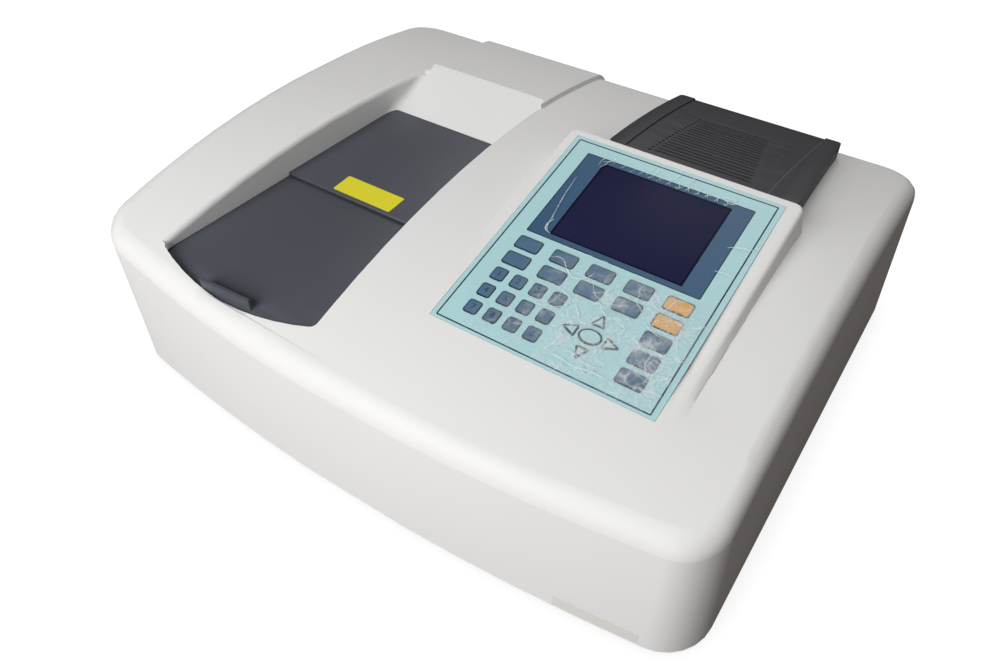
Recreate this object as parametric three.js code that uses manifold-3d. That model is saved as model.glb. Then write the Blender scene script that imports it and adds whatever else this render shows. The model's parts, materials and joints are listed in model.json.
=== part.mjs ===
// Bench spectrophotometer: a moulded housing with a sample compartment at the left, a control panel at
// the right, a lift-off lamp cover at the rear right, and the optics that the housing holds.
// Millimetres, +Z up, +X to the user's right, front facing -Y. The origin is on the table, at the centre
// of the footprint.

import * as THREE from 'three';
import { mergeVertices } from 'three/addons/utils/BufferGeometryUtils.js';
import Module from 'manifold-3d';

const wasm = await Module();
wasm.setup();

// Clearances shared by every piece
const gap = 0.3;
const overrun = 5;

// Housing
const housingWidth = 626;
const housingDepth = 526;
const bowDepth = 24;
const cornerRadius = 44;
const edgeRadius = 15;
const coverLift = 4;
const crownHeight = 182.4;
const crownY = 20;
const archRadius = 935;
const cheekRise = 16;
const cheekRight = -150;
const cheekBack = 80;
const draftAngle = THREE.MathUtils.degToRad(2.2);
const wall = 3;

// Base pan and feet
const panThickness = 2;
const panLift = 2;
const panRim = 14;
const footRadius = 11;
const footFlare = 2;
const footSideInset = 62;
const footEndInset = 66;

// Sample recess
const recessRightShare = 0.0831;
const recessFrontWidthShare = 0.2875;
const recessRearWidthShare = 0.2348;
const recessRight = -housingWidth * recessRightShare;
const recessFrontWidth = housingWidth * recessFrontWidthShare;
const recessRearWidth = housingWidth * recessRearWidthShare;
const recessRimInset = 22;
const recessFrontSag = 17;
const recessFrontCorner = 7;
const recessRearCorner = 8;
const seamShare = 0.3593;
const deckLengthShare = 0.2795;
const rearSlopeShare = 0.1236;
const seamFromFront = housingDepth * seamShare;
const deckLength = housingDepth * deckLengthShare;
const rearSlopeRun = housingDepth * rearSlopeShare;
const lidDrop = 32.4;
const lidTop = crownHeight - lidDrop;
const lidThickness = 2.5;
const lidSideGap = 0.5;
const lidOverlap = 12;
const lidRollLength = 30;
const lidRollDrop = 6;
const lidFlangeInset = 36;
const lipLength = 56;
const lipThickness = 3;
const lipRise = 8;
const lipFromRight = 62;
const lipSetback = 1.8;
const lipTurn = THREE.MathUtils.degToRad(3);
const deckThickness = 3;
const deckWing = 8;
const deckLeg = 3;
const deckLeftWing = 6;

// Label platform behind the recess
const platformRise = 5;
const platformBevel = 6;
const platformInset = 5;

// Control panel
const panelWidthShare = 0.3195;
const panelLengthShare = 0.4487;
const panelSideMarginShare = 0.139;
const panelFromFrontShare = 0.1863;
const panelWidth = housingWidth * panelWidthShare;
const panelLength = housingDepth * panelLengthShare;
const panelSideMargin = housingWidth * panelSideMarginShare;
const panelFromFront = housingDepth * panelFromFrontShare;
const panelTilt = THREE.MathUtils.degToRad(9.6);
const bezelLeftRim = 10;
const bezelRightRim = 13.5;
const bezelRearRim = 8;
const bezelFrontRim = 2;
const bezelEdge = 3;
const bezelFlare = 9;
const bezelSink = 46;
const bezelCorner = 8;
const overlayThickness = 1.2;
const pocketDepth = overlayThickness + gap;
const keyTravel = 0.4;
const keyProud = 0.5;
const keySinkGap = 0.5;
const keyRound = 2.4;

// Keys and window, as shares of the panel's width and of its length
const functionPitchShare = 0.172;
const firstFunctionColumnShare = 0.1575;
const functionKeyWidthShare = 0.114;
const numberPitchShare = 0.0935;
const firstNumberColumnShare = 0.1345;
const numberKeyWidthShare = 0.062;
const cursorXShare = 0.618;
const cursorKeyWidthShare = 0.099;
const arrowReachXShare = 0.129;
const arrowWidthShare = 0.059;
const windowWidthShare = 0.61;
const windowCentreXShare = 0.505;
const rowPitchShare = 0.08157;
const firstRowShare = 0.09534;
const functionKeyHeightShare = 0.0593;
const numberKeyHeightShare = 0.0559;
const cursorKeyHeightShare = 0.061;
const arrowReachYShare = 0.1004;
const windowHeightShare = 0.3996;
const windowCentreYShare = 0.7042;
const arrowLengthShare = 0.53;
const arrowRound = 1.2;
const functionPitch = panelWidth * functionPitchShare;
const firstFunctionColumn = panelWidth * firstFunctionColumnShare;
const functionKeyWidth = panelWidth * functionKeyWidthShare;
const numberPitch = panelWidth * numberPitchShare;
const firstNumberColumn = panelWidth * firstNumberColumnShare;
const numberKeyWidth = panelWidth * numberKeyWidthShare;
const cursorX = panelWidth * cursorXShare;
const cursorKeyWidth = panelWidth * cursorKeyWidthShare;
const arrowReachX = panelWidth * arrowReachXShare;
const arrowWidth = panelWidth * arrowWidthShare;
const windowWidth = panelWidth * windowWidthShare;
const windowCentreX = panelWidth * windowCentreXShare;
const rowPitch = panelLength * rowPitchShare;
const firstRow = panelLength * firstRowShare;
const functionKeyHeight = panelLength * functionKeyHeightShare;
const numberKeyHeight = panelLength * numberKeyHeightShare;
const cursorKeyHeight = panelLength * cursorKeyHeightShare;
const arrowReachY = panelLength * arrowReachYShare;
const windowHeight = panelLength * windowHeightShare;
const windowCentreY = panelLength * windowCentreYShare;
const windowThickness = 0.9;
const windowLedge = 3;
const moduleMargin = 14;
const moduleThickness = 9;

// Lamp cover over the lamp opening
const lampCoverFrontShare = 0.91;
const lampCoverRearShare = 0.85;
const lampCoverOffsetShare = 0.5775;
const lampCoverFrontWidth = panelWidth * lampCoverFrontShare;
const lampCoverRearWidth = panelWidth * lampCoverRearShare;
const lampCoverOffset = panelWidth * lampCoverOffsetShare;
const lampCoverRearInset = 30;
const lampCoverFrontRise = 17.2;
const lampCoverRearRise = 14.4;
const lampCoverBulge = 3.5;
const lampCoverWall = 2.5;
const lampCoverCorner = 4;
const lampCoverGap = 6;
const railRise = 1.6;
const railWidth = 16;
const slotCount = 17;
const slotWidth = 1.6;
const slotFrontLengthShare = 0.51;
const slotRearLengthShare = 0.36;
const slotFrontStartShare = 0.14;
const slotRearStartShare = 0.205;
const slotFrontLength = lampCoverFrontWidth * slotFrontLengthShare;
const slotRearLength = lampCoverFrontWidth * slotRearLengthShare;
const slotFrontStart = lampCoverFrontWidth * slotFrontStartShare;
const slotRearStart = lampCoverFrontWidth * slotRearStartShare;
const slotFrontInset = 12;
const slotRearInset = 50;
const lampOpeningInset = 22;

// Sample tub, cell carriage and cuvettes
const tubWall = 3;
const tubPlate = 2.5;
const wellRightInset = 14;
const wellWidthShare = 0.7556;
const wellLengthShare = 0.6402;
const wellWidth = recessFrontWidth * wellWidthShare;
const wellFromSeam = 3;
const wellLength = seamFromFront * wellLengthShare;
const wellFloor = 60;
const wellFloorThickness = 3;
const plateSideMargin = 11;
const plateRearMargin = 15;
const plateFrontMargin = 3;
const beamHoleRadius = 9;
const cuvetteSide = 12.5;
const cuvetteHeight = 45;
const cuvetteWall = 1.25;
const cellCount = 4;
const cellPitch = 15;
const carriageEnd = 2;
const carriageWidth = 28;
const carriageHeight = 40;
const carriageFloor = 6;
const carriageStart = 2;
const railGuideWidth = 8;
const railGuideHeight = 3;
const beamAboveCell = 16.5;
const cellWindowWidth = 7;
const cellWindowHeight = 22;

// Optics under the control panel
const caseWall = 4;
const caseHeight = 98;
const caseFromTub = 31;
const caseSideInset = 119;
const caseLengthShare = 0.4373;
const caseLength = housingDepth * caseLengthShare;
const caseFromFront = 63;
const slitWidth = 4;
const slitHeight = 24;
const turretRadius = 24;
const turretBase = 8;
const gratingSide = 34;
const gratingThickness = 6;
const detectorSideInset = 31.7;
const detectorLength = 54;
const detectorHeight = 96;
const detectorTube = 7;
const detectorTubeRadius = 12;

// Lamp house and lamps
const houseWall = 3;
const houseWidthShare = 0.7294;
const houseWidth = lampCoverRearWidth * houseWidthShare;
const houseFromFan = 8.1;
const houseHeight = 112;
const houseFromBezel = 34;
const lampSpread = 30;
const lampFromRear = 36;
const mirrorFromFront = 30;
const halogenBaseRadius = 9;
const halogenBaseHeight = 52;
const halogenBulbRadius = 6;
const halogenHeight = 82;
const deuteriumRadius = 14;
const deuteriumHeight = 96;
const deuteriumNeck = 9;
const mirrorSide = 26;
const mirrorThickness = 3;
const mirrorPostRadius = 5;

// Electronics
const boardThickness = 1.6;
const boardStandoff = 8;
const boardStandoffRadius = 4;
const boardLengthShare = 0.2395;
const boardWidthShare = 0.2748;
const boardLength = housingDepth * boardLengthShare;
const boardWidth = housingWidth * boardWidthShare;
const chipHeight = 3;
const supplyWidth = 118;
const supplyLengthShare = 0.2662;
const supplyLength = housingDepth * supplyLengthShare;
const supplyHeight = 68;
const supplySlotCount = 6;
const supplySlotWidth = 4;

// Rear bay with connectors and fan
const bayFloorInset = 9;
const bayFromSide = 163;
const bayWidth = 140;
const bayLift = 4;
const bayHeight = 56;
const fanSide = 80;
const fanDepth = 25;
const fanBore = 38;
const fanHubRadius = 16;
const fanBladeCount = 7;
const fanBladeThickness = 2;
const fanBladeGap = 1.5;
const fanBladePitch = THREE.MathUtils.degToRad(38);
const fanStrut = 5;
const fanAxleRadius = 3;
const grilleSlotCount = 8;
const grilleSlotWidth = 4;
const grilleSlotLength = 62;
const inletWidth = 27;
const inletHeight = 20;
const inletDepth = 22;
const inletFlange = 48;
const inletFlangeHeight = 27;
const flangeThickness = 2;
const inletCavityDepth = 15;
const inletWall = 2;
const pinWidth = 2;
const pinHeight = 4;
const pinLength = 10;
const pinSpread = 7;
const switchWidth = 13;
const switchHeight = 19;
const switchDepth = 10;
const switchBevel = 2.4;
const portWidth = 31;
const portHeight = 12.5;
const portShellWidth = 17;
const portShellHeight = 8.5;
const portShellDepth = 6;
const portDepth = 10;
const portShellWall = 1;
const inletCentre = 34;
const switchCentre = 75;
const portCentre = 111;

// Curve steps
const bowSteps = 5;
const cornerSteps = 6;
const sideSteps = 11;
const rearCornerSteps = 5;
const edgeSteps = 5;
const recessSteps = 10;
const bezelSteps = 3;
const roundSteps = 2;
const circleSteps = 20;

// Places that follow from the sizes above
const sideX = housingWidth / 2;
const frontY = -housingDepth / 2;
const backY = housingDepth / 2;
const panBottom = coverLift + panLift;
const panTop = panBottom + panThickness;
const seat = panTop + gap;
const seamY = frontY + seamFromFront;
const slopeFootY = seamY + deckLength;
const slopeTopY = slopeFootY + rearSlopeRun;
const recessLeftFront = recessRight - recessFrontWidth;
const recessLeftRear = recessRight - recessRearWidth;
const deckBottom = lidTop + lidSideGap;
const deckTop = deckBottom + deckThickness;
const lidBottom = lidTop - lidThickness;
const runnerTop = lidBottom - gap;
const plateTop = runnerTop - lidRollDrop;
const plateBottom = plateTop - tubPlate;
const deckLeft = recessLeftFront - deckLeftWing;
const deckRight = recessRight + deckWing;
const archHeight = (y, drop = 0) =>
  crownHeight - drop - archRadius + Math.sqrt(archRadius ** 2 - (y - crownY) ** 2);
// The left cheek, beside the sample recess, swells towards the front left corner
const topHeight = (x, y, drop = 0) => {
  const acrossShare = Math.max(0, (cheekRight - x) / (cheekRight + sideX));
  const alongShare = Math.max(0, (cheekBack - y) / (cheekBack - frontY));
  return archHeight(y, drop) + cheekRise * acrossShare * alongShare;
};
const platformLeft = recessRight - recessRearWidth + platformInset;
const panelLeft = sideX - panelSideMargin - panelWidth;
const panelFront = frontY + panelFromFront;
const bezelRearY = panelFront + (panelLength + bezelRearRim) * Math.cos(panelTilt);

// Solids, cuts and joins
function solid(geometry) {
  geometry.deleteAttribute('normal');
  geometry.deleteAttribute('uv');
  const merged = mergeVertices(geometry);
  const vertProperties = new Float32Array(merged.attributes.position.array);
  const triVerts = new Uint32Array(merged.index.array);
  return new wasm.Manifold(new wasm.Mesh({ numProp: 3, vertProperties, triVerts }));
}

function join(first, ...others) {
  return others.reduce((sum, other) => sum.add(other), first);
}

function cut(first, ...others) {
  return others.reduce((rest, other) => rest.subtract(other), first);
}

function geometryOf(body) {
  const mesh = body.getMesh();
  const geometry = new THREE.BufferGeometry();
  geometry.setAttribute('position', new THREE.BufferAttribute(new Float32Array(mesh.vertProperties), 3));
  geometry.setIndex(new THREE.BufferAttribute(new Uint32Array(mesh.triVerts), 1));
  geometry.computeVertexNormals();
  return geometry;
}

function box(left, right, front, back, bottom, top) {
  const geometry = new THREE.BoxGeometry(right - left, back - front, top - bottom);
  return solid(geometry.translate((left + right) / 2, (front + back) / 2, (bottom + top) / 2));
}

function extruded(shape, length) {
  return new THREE.ExtrudeGeometry(shape, { depth: length, bevelEnabled: false, curveSegments: roundSteps });
}

// A plan outline extruded upwards
function upright(shape, bottom, top) {
  return solid(extruded(shape, top - bottom).translate(0, 0, bottom));
}

// A side profile, drawn in Y and Z, extruded along X
function alongX(shape, left, right) {
  const turn = new THREE.Matrix4().makeBasis(
    new THREE.Vector3(0, 1, 0), new THREE.Vector3(0, 0, 1), new THREE.Vector3(1, 0, 0));
  return solid(extruded(shape, right - left).applyMatrix4(turn).translate(left, 0, 0));
}

// A front profile, drawn in X and Z, extruded along Y
function alongY(shape, front, back) {
  const turn = new THREE.Matrix4().makeBasis(
    new THREE.Vector3(1, 0, 0), new THREE.Vector3(0, 0, 1), new THREE.Vector3(0, -1, 0));
  return solid(extruded(shape, back - front).applyMatrix4(turn).translate(0, back, 0));
}

function post(x, y, bottom, top, radius, steps = circleSteps) {
  const geometry = new THREE.CylinderGeometry(radius, radius, top - bottom, steps);
  return solid(geometry.rotateX(Math.PI / 2).translate(x, y, (bottom + top) / 2));
}

function rodAlongX(left, right, y, z, radius) {
  const geometry = new THREE.CylinderGeometry(radius, radius, right - left, circleSteps);
  return solid(geometry.rotateZ(Math.PI / 2).translate((left + right) / 2, y, z));
}

function rodAlongY(x, front, back, z, radius, steps = circleSteps) {
  const geometry = new THREE.CylinderGeometry(radius, radius, back - front, steps);
  return solid(geometry.translate(x, (front + back) / 2, z));
}

// A closed polygon whose corners carry their own radius: each point is [x, y, radius]
function roundedShape(points) {
  const shape = new THREE.Shape();
  points.forEach(([x, y, radius], index) => {
    const before = points[(index + points.length - 1) % points.length];
    const after = points[(index + 1) % points.length];
    const corner = new THREE.Vector2(x, y);
    const back = new THREE.Vector2(before[0], before[1]).sub(corner).normalize();
    const ahead = new THREE.Vector2(after[0], after[1]).sub(corner).normalize();
    if (radius === 0) {
      if (index === 0) shape.moveTo(x, y);
      else shape.lineTo(x, y);
      return;
    }
    const halfAngle = Math.acos(THREE.MathUtils.clamp(back.dot(ahead), -1, 1)) / 2;
    const reach = radius / Math.tan(halfAngle);
    const start = corner.clone().addScaledVector(back, reach);
    const middle = back.clone().add(ahead).normalize();
    const centre = corner.clone().addScaledVector(middle, radius / Math.sin(halfAngle));
    const end = corner.clone().addScaledVector(ahead, reach);
    if (index === 0) shape.moveTo(start.x, start.y);
    else shape.lineTo(start.x, start.y);
    const from = Math.atan2(start.y - centre.y, start.x - centre.x);
    const to = Math.atan2(end.y - centre.y, end.x - centre.x);
    const clockwise = back.cross(ahead) > 0;
    shape.absarc(centre.x, centre.y, radius, from, to, clockwise);
  });
  shape.closePath();
  return shape;
}

function rectangle(left, right, bottom, top, radius = 0) {
  return roundedShape([[left, bottom, radius], [right, bottom, radius], [right, top, radius],
    [left, top, radius]]);
}

function centred(x, y, width, height, radius = 0) {
  return rectangle(x - width / 2, x + width / 2, y - height / 2, y + height / 2, radius);
}

// The housing's outline at the table: a bowed front, straight sides and back, and round corners. It is
// the right half, from front to back, as points with their outward direction.
const bowRadius = (sideX ** 2 + bowDepth ** 2) / (2 * bowDepth);
const bowCentreY = frontY + bowRadius;
function halfOutline() {
  const cornerX = sideX - cornerRadius;
  const cornerY = bowCentreY - Math.sqrt((bowRadius - cornerRadius) ** 2 - cornerX ** 2);
  const bowAngle = Math.asin(cornerX / (bowRadius - cornerRadius));
  const rearCornerY = backY - cornerRadius;
  const half = [];
  for (let step = 1; step < bowSteps; step += 1) {
    const angle = (bowAngle * step) / bowSteps;
    const out = new THREE.Vector2(Math.sin(angle), -Math.cos(angle));
    half.push({ x: bowRadius * out.x, y: bowCentreY + bowRadius * out.y, out });
  }
  for (let step = 0; step <= cornerSteps; step += 1) {
    const angle = THREE.MathUtils.lerp(bowAngle, Math.PI / 2, step / cornerSteps);
    const out = new THREE.Vector2(Math.sin(angle), -Math.cos(angle));
    half.push({ x: cornerX + cornerRadius * out.x, y: cornerY + cornerRadius * out.y, out });
  }
  for (let step = 1; step < sideSteps; step += 1) {
    const y = THREE.MathUtils.lerp(cornerY, rearCornerY, step / sideSteps);
    half.push({ x: sideX, y, out: new THREE.Vector2(1, 0) });
  }
  for (let step = 0; step <= rearCornerSteps; step += 1) {
    const angle = ((Math.PI / 2) * step) / rearCornerSteps;
    const out = new THREE.Vector2(Math.cos(angle), Math.sin(angle));
    half.push({ x: cornerX + cornerRadius * out.x, y: rearCornerY + cornerRadius * out.y, out });
  }
  return half;
}

function outlineShape(inset) {
  const right = halfOutline().map(({ x, y, out }) => new THREE.Vector2(x, y).addScaledVector(out, -inset));
  const left = right.map((point) => new THREE.Vector2(-point.x, point.y)).reverse();
  return new THREE.Shape([...right, ...left]);
}

// The side faces of a closed skin through rings of equal length
function ringFaces(count, ringCount) {
  const faces = [];
  for (let ring = 0; ring + 1 < ringCount; ring += 1) {
    for (let step = 0; step < count; step += 1) {
      const next = (step + 1) % count;
      const low = ring * count;
      const high = low + count;
      faces.push(low + step, low + next, high + next, low + step, high + next, high + step);
    }
  }
  return faces;
}

function bodyFrom(points, faces) {
  const geometry = new THREE.BufferGeometry();
  const positions = points.flatMap((point) => [point.x, point.y, point.z]);
  geometry.setAttribute('position', new THREE.Float32BufferAttribute(positions, 3));
  geometry.setIndex(faces);
  return solid(geometry);
}

// A closed skin through mirrored rings, closed by strips from side to side. The strips of the top meet
// on a ridge, the line where the left cheek starts or else the middle, except at the first and last ones.
function skin(rings, heightAt) {
  const count = rings[0].length;
  const points = rings.flat();
  const faces = ringFaces(count, rings.length);
  const last = (rings.length - 1) * count;
  const rows = [];
  for (let step = 0; step < count / 2; step += 1) {
    const right = last + step;
    const { x, y } = points[right];
    const ridgeX = -x < cheekRight ? cheekRight : 0;
    const isEnd = step === 0 || step + 1 === count / 2;
    const ridge = isEnd ? right : points.push(new THREE.Vector3(ridgeX, y, heightAt(ridgeX, y))) - 1;
    rows.push([right, ridge, last + count - 1 - step]);
  }
  for (let step = 0; step + 1 < count / 2; step += 1) {
    const across = count - 1 - step;
    faces.push(step, across, across - 1, step, across - 1, step + 1);
    const near = rows[step];
    const far = rows[step + 1];
    for (const side of [0, 1]) {
      const triangles = [[near[side], far[side], far[side + 1]], [near[side], far[side + 1], near[side + 1]]];
      faces.push(...triangles.filter((corners) => new Set(corners).size === corners.length).flat());
    }
  }
  return bodyFrom(points, faces);
}

// The housing's body: drafted walls, a rounded edge and the arched top, moved in by an inset and down
// by a drop
function housingBody(inset, drop, bottom) {
  const half = halfOutline();
  const radius = edgeRadius - Math.max(inset, 0);
  const mirrored = half.map(({ x, y, out }) => ({ x: -x, y, out: new THREE.Vector2(-out.x, out.y) }));
  const whole = [...half, ...mirrored.reverse()];
  const place = ({ x, y, out }, distance) => new THREE.Vector2(x, y).addScaledVector(out, -distance);
  const draftInset = (z) => (z - coverLift) * Math.tan(draftAngle);
  const rings = [whole.map((point) => {
    const { x, y } = place(point, inset + draftInset(bottom));
    return new THREE.Vector3(x, y, bottom);
  })];
  for (let step = 0; step <= edgeSteps; step += 1) {
    const angle = ((Math.PI / 2) * step) / edgeSteps;
    rings.push(whole.map((point) => {
      const wallInset = inset + draftInset(archHeight(point.y, drop + radius));
      const { x, y } = place(point, wallInset + radius * (1 - Math.cos(angle)));
      return new THREE.Vector3(x, y, topHeight(x, y, drop + radius * (1 - Math.sin(angle))));
    }));
  }
  return skin(rings, (x, y) => topHeight(x, y, drop));
}

// The recess in plan: its front edge is bowed, its left edge tapers to the rear
const recessMiddle = recessRight - recessFrontWidth / 2;
const recessApex = bowCentreY - Math.sqrt((bowRadius - recessRimInset) ** 2 - recessMiddle ** 2);
const recessFrontRadius = ((recessFrontWidth / 2) ** 2 + recessFrontSag ** 2) / (2 * recessFrontSag);
function recessFrontAt(x, grow) {
  const radius = recessFrontRadius + grow;
  return recessApex + recessFrontRadius - Math.sqrt(radius ** 2 - (x - recessMiddle) ** 2);
}

function recessShape(grow, rearY = slopeTopY) {
  const right = recessRight + grow;
  const leftFront = recessLeftFront - grow;
  const leftFrontY = recessFrontAt(leftFront, grow);
  const taper = (recessLeftRear - recessLeftFront) / (slopeTopY - recessFrontAt(recessLeftFront, 0));
  const leftRear = leftFront + taper * (rearY - leftFrontY);
  const frontEdge = [];
  for (let step = 1; step < recessSteps; step += 1) {
    const x = THREE.MathUtils.lerp(leftFront, right, step / recessSteps);
    frontEdge.push([x, recessFrontAt(x, grow), 0]);
  }
  return roundedShape([
    [leftFront, leftFrontY, recessFrontCorner + grow],
    ...frontEdge,
    [right, recessFrontAt(right, grow), recessFrontCorner + grow],
    [right, rearY + grow, recessRearCorner + grow],
    [leftRear, rearY + grow, recessRearCorner + grow],
  ]);
}

// Panel frame: origin at the overlay's lower left corner, X across, Y up the slope
const panelFrame = new THREE.Group();
panelFrame.position.set(panelLeft, panelFront, archHeight(panelFront));
panelFrame.rotation.x = panelTilt;
panelFrame.updateMatrixWorld();
const inPanelFrame = (body) => body.transform(panelFrame.matrixWorld.elements);

// Bezel: a wedge whose flat top lies in the panel's plane, with flared sides and a rounded top edge
function bezelBody(inset, sink) {
  const flareAtEdge = (bezelFlare * bezelEdge) / bezelSink;
  const ringAt = (out, depth) => {
    const radius = bezelCorner + out;
    const left = -bezelLeftRim - out + radius;
    const right = panelWidth + bezelRightRim + out - radius;
    const front = -bezelFrontRim - out + radius;
    const rear = panelLength + bezelRearRim + Math.min(out, flareAtEdge) - radius;
    const corners = [[right, front, -1], [right, rear, 0], [left, rear, 1], [left, front, 2]];
    return corners.flatMap(([x, y, quarter]) => [...Array(cornerSteps).keys()].map((step) => {
      const angle = (Math.PI / 2) * (quarter + step / (cornerSteps - 1));
      return new THREE.Vector3(x + radius * Math.cos(angle), y + radius * Math.sin(angle), depth);
    }));
  };
  const rings = [ringAt(bezelFlare - inset, -bezelSink)];
  for (let step = 0; step <= bezelSteps; step += 1) {
    const angle = ((Math.PI / 2) * step) / bezelSteps;
    const out = flareAtEdge - bezelEdge * (1 - Math.cos(angle)) - inset;
    rings.push(ringAt(out, -sink - bezelEdge * (1 - Math.sin(angle))));
  }
  return inPanelFrame(fanSkin(rings));
}

// A closed skin through convex rings, closed by a fan at each end
function fanSkin(rings) {
  const count = rings[0].length;
  const faces = ringFaces(count, rings.length);
  const last = (rings.length - 1) * count;
  for (let step = 1; step + 1 < count; step += 1) {
    faces.push(0, step + 1, step);
    faces.push(last, last + step, last + step + 1);
  }
  return bodyFrom(rings.flat(), faces);
}

const part = new THREE.Group();

function add(parent, name, body, color, roughness, metalness = 0) {
  const geometry = body.isBufferGeometry ? body : geometryOf(body);
  const mesh = new THREE.Mesh(geometry, new THREE.MeshStandardMaterial({ color, roughness, metalness }));
  mesh.name = name;
  parent.add(mesh);
  return mesh;
}

// Lamp cover: its plan tapers to the rear and its top runs in a shallow arc above the housing
const lampCoverX = panelLeft + lampCoverOffset;
const lampCoverFrontY = bezelRearY + lampCoverGap;
const lampCoverRearY = backY - lampCoverRearInset;
function lampCoverPlan(inset) {
  const front = lampCoverFrontWidth / 2 - inset;
  const rear = lampCoverRearWidth / 2 - inset;
  return roundedShape([
    [lampCoverX - front, lampCoverFrontY + inset, lampCoverCorner],
    [lampCoverX + front, lampCoverFrontY + inset, lampCoverCorner],
    [lampCoverX + rear, lampCoverRearY - inset, lampCoverCorner],
    [lampCoverX - rear, lampCoverRearY - inset, lampCoverCorner],
  ]);
}

function lampCoverTop(y, drop) {
  const share = (y - lampCoverFrontY) / (lampCoverRearY - lampCoverFrontY);
  const line = THREE.MathUtils.lerp(archHeight(lampCoverFrontY) + lampCoverFrontRise,
    archHeight(lampCoverRearY) + lampCoverRearRise, share);
  return line + 4 * lampCoverBulge * share * (1 - share) - drop;
}

// A slab along X under a curve of heights in Y and above another
function slabBetween(lowAt, highAt) {
  const profile = new THREE.Shape();
  const length = lampCoverRearY - lampCoverFrontY + 2 * overrun;
  const placeY = (step) => lampCoverFrontY - overrun + (length * step) / sideSteps;
  profile.moveTo(placeY(0), lowAt(placeY(0)));
  for (let step = 1; step <= sideSteps; step += 1) {
    profile.lineTo(placeY(step), lowAt(placeY(step)));
  }
  for (let step = sideSteps; step >= 0; step -= 1) {
    profile.lineTo(placeY(step), highAt(placeY(step)));
  }
  return alongX(profile, lampCoverX - lampCoverFrontWidth, lampCoverX + lampCoverFrontWidth);
}

// The space between the housing's arch, raised by a lift, and the cover's top, lowered by a drop
function underLampCover(lift, drop) {
  return slabBetween((y) => archHeight(y) + lift, (y) => lampCoverTop(y, drop));
}

function lampOpeningShape() {
  const front = lampCoverFrontY + lampOpeningInset;
  const back = lampCoverRearY - lampOpeningInset;
  const half = lampCoverRearWidth / 2 - lampOpeningInset;
  return rectangle(lampCoverX - half, lampCoverX + half, front, back, lampCoverCorner);
}

// Rear bay: a pocket with an upright floor in the drafted back wall
const bayLeft = bayFromSide - sideX;
const bayFloorY = backY - bayFloorInset;
const bayBottom = panBottom + panRim + bayLift;
const fanX = lampCoverX;
const fanBack = bayFloorY - wall - gap;
const fanFront = fanBack - fanDepth;
const fanBottom = bayBottom + gap;
const fanZ = fanBottom + fanSide / 2;
const inletX = bayLeft + inletCentre;
const switchX = bayLeft + switchCentre;
const portX = bayLeft + portCentre;
const connectorZ = bayBottom + bayHeight / 2;

// Keys: [name, outline in the panel's plane]
const row = (index) => firstRow + rowPitch * index;
const functionColumn = (index) => firstFunctionColumn + functionPitch * index;
const numberColumn = (index) => firstNumberColumn + numberPitch * index;

function ellipse(x, y, width, height) {
  const shape = new THREE.Shape();
  for (let step = 0; step < circleSteps; step += 1) {
    const angle = (2 * Math.PI * step) / circleSteps;
    const point = [x + (width / 2) * Math.cos(angle), y + (height / 2) * Math.sin(angle)];
    if (step === 0) shape.moveTo(...point);
    else shape.lineTo(...point);
  }
  shape.closePath();
  return shape;
}

// An arrow key: a triangle whose tip lies at a reach from the cursor's centre, in the direction turned
function arrow(quarterTurns, reach, grow) {
  const centre = new THREE.Vector2(cursorX, row(1));
  const turn = (Math.PI / 2) * quarterTurns;
  const turned = (along, across) => {
    const point = new THREE.Vector2(along, across).rotateAround(new THREE.Vector2(), turn).add(centre);
    return [point.x, point.y, arrowRound];
  };
  const base = reach * (1 - arrowLengthShare) - grow;
  const tip = reach + grow * 2;
  const half = arrowWidth / 2 + grow * 2;
  return roundedShape([turned(base, -half), turned(tip, 0), turned(base, half)]);
}

function keyOutlines(grow) {
  const keys = [];
  const round = keyRound + grow;
  const rectangular = (name, x, y, width, height) =>
    keys.push([name, centred(x, y, width + 2 * grow, height + 2 * grow, round)]);
  for (let line = 0; line < 3; line += 1) {
    for (let column = 0; column < 4; column += 1) {
      const name = `key_number_${line + 1}_${column + 1}`;
      rectangular(name, numberColumn(column), row(2 - line), numberKeyWidth, numberKeyHeight);
    }
  }
  for (let line = 0; line < 2; line += 1) {
    for (let column = 0; column < 4; column += 1) {
      const name = `key_function_${line + 1}_${column + 1}`;
      rectangular(name, functionColumn(column), row(4 - line), functionKeyWidth, functionKeyHeight);
    }
  }
  for (let line = 0; line < 5; line += 1) {
    const name = `key_side_${line + 1}`;
    rectangular(name, functionColumn(4), row(4 - line), functionKeyWidth, functionKeyHeight);
  }
  keys.push(['key_cell', ellipse(cursorX, row(1), cursorKeyWidth + 2 * grow, cursorKeyHeight + 2 * grow)]);
  keys.push(['key_right', arrow(0, arrowReachX, grow)]);
  keys.push(['key_up', arrow(1, arrowReachY, grow)]);
  keys.push(['key_left', arrow(2, arrowReachX, grow)]);
  keys.push(['key_down', arrow(3, arrowReachY, grow)]);
  return keys;
}

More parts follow.
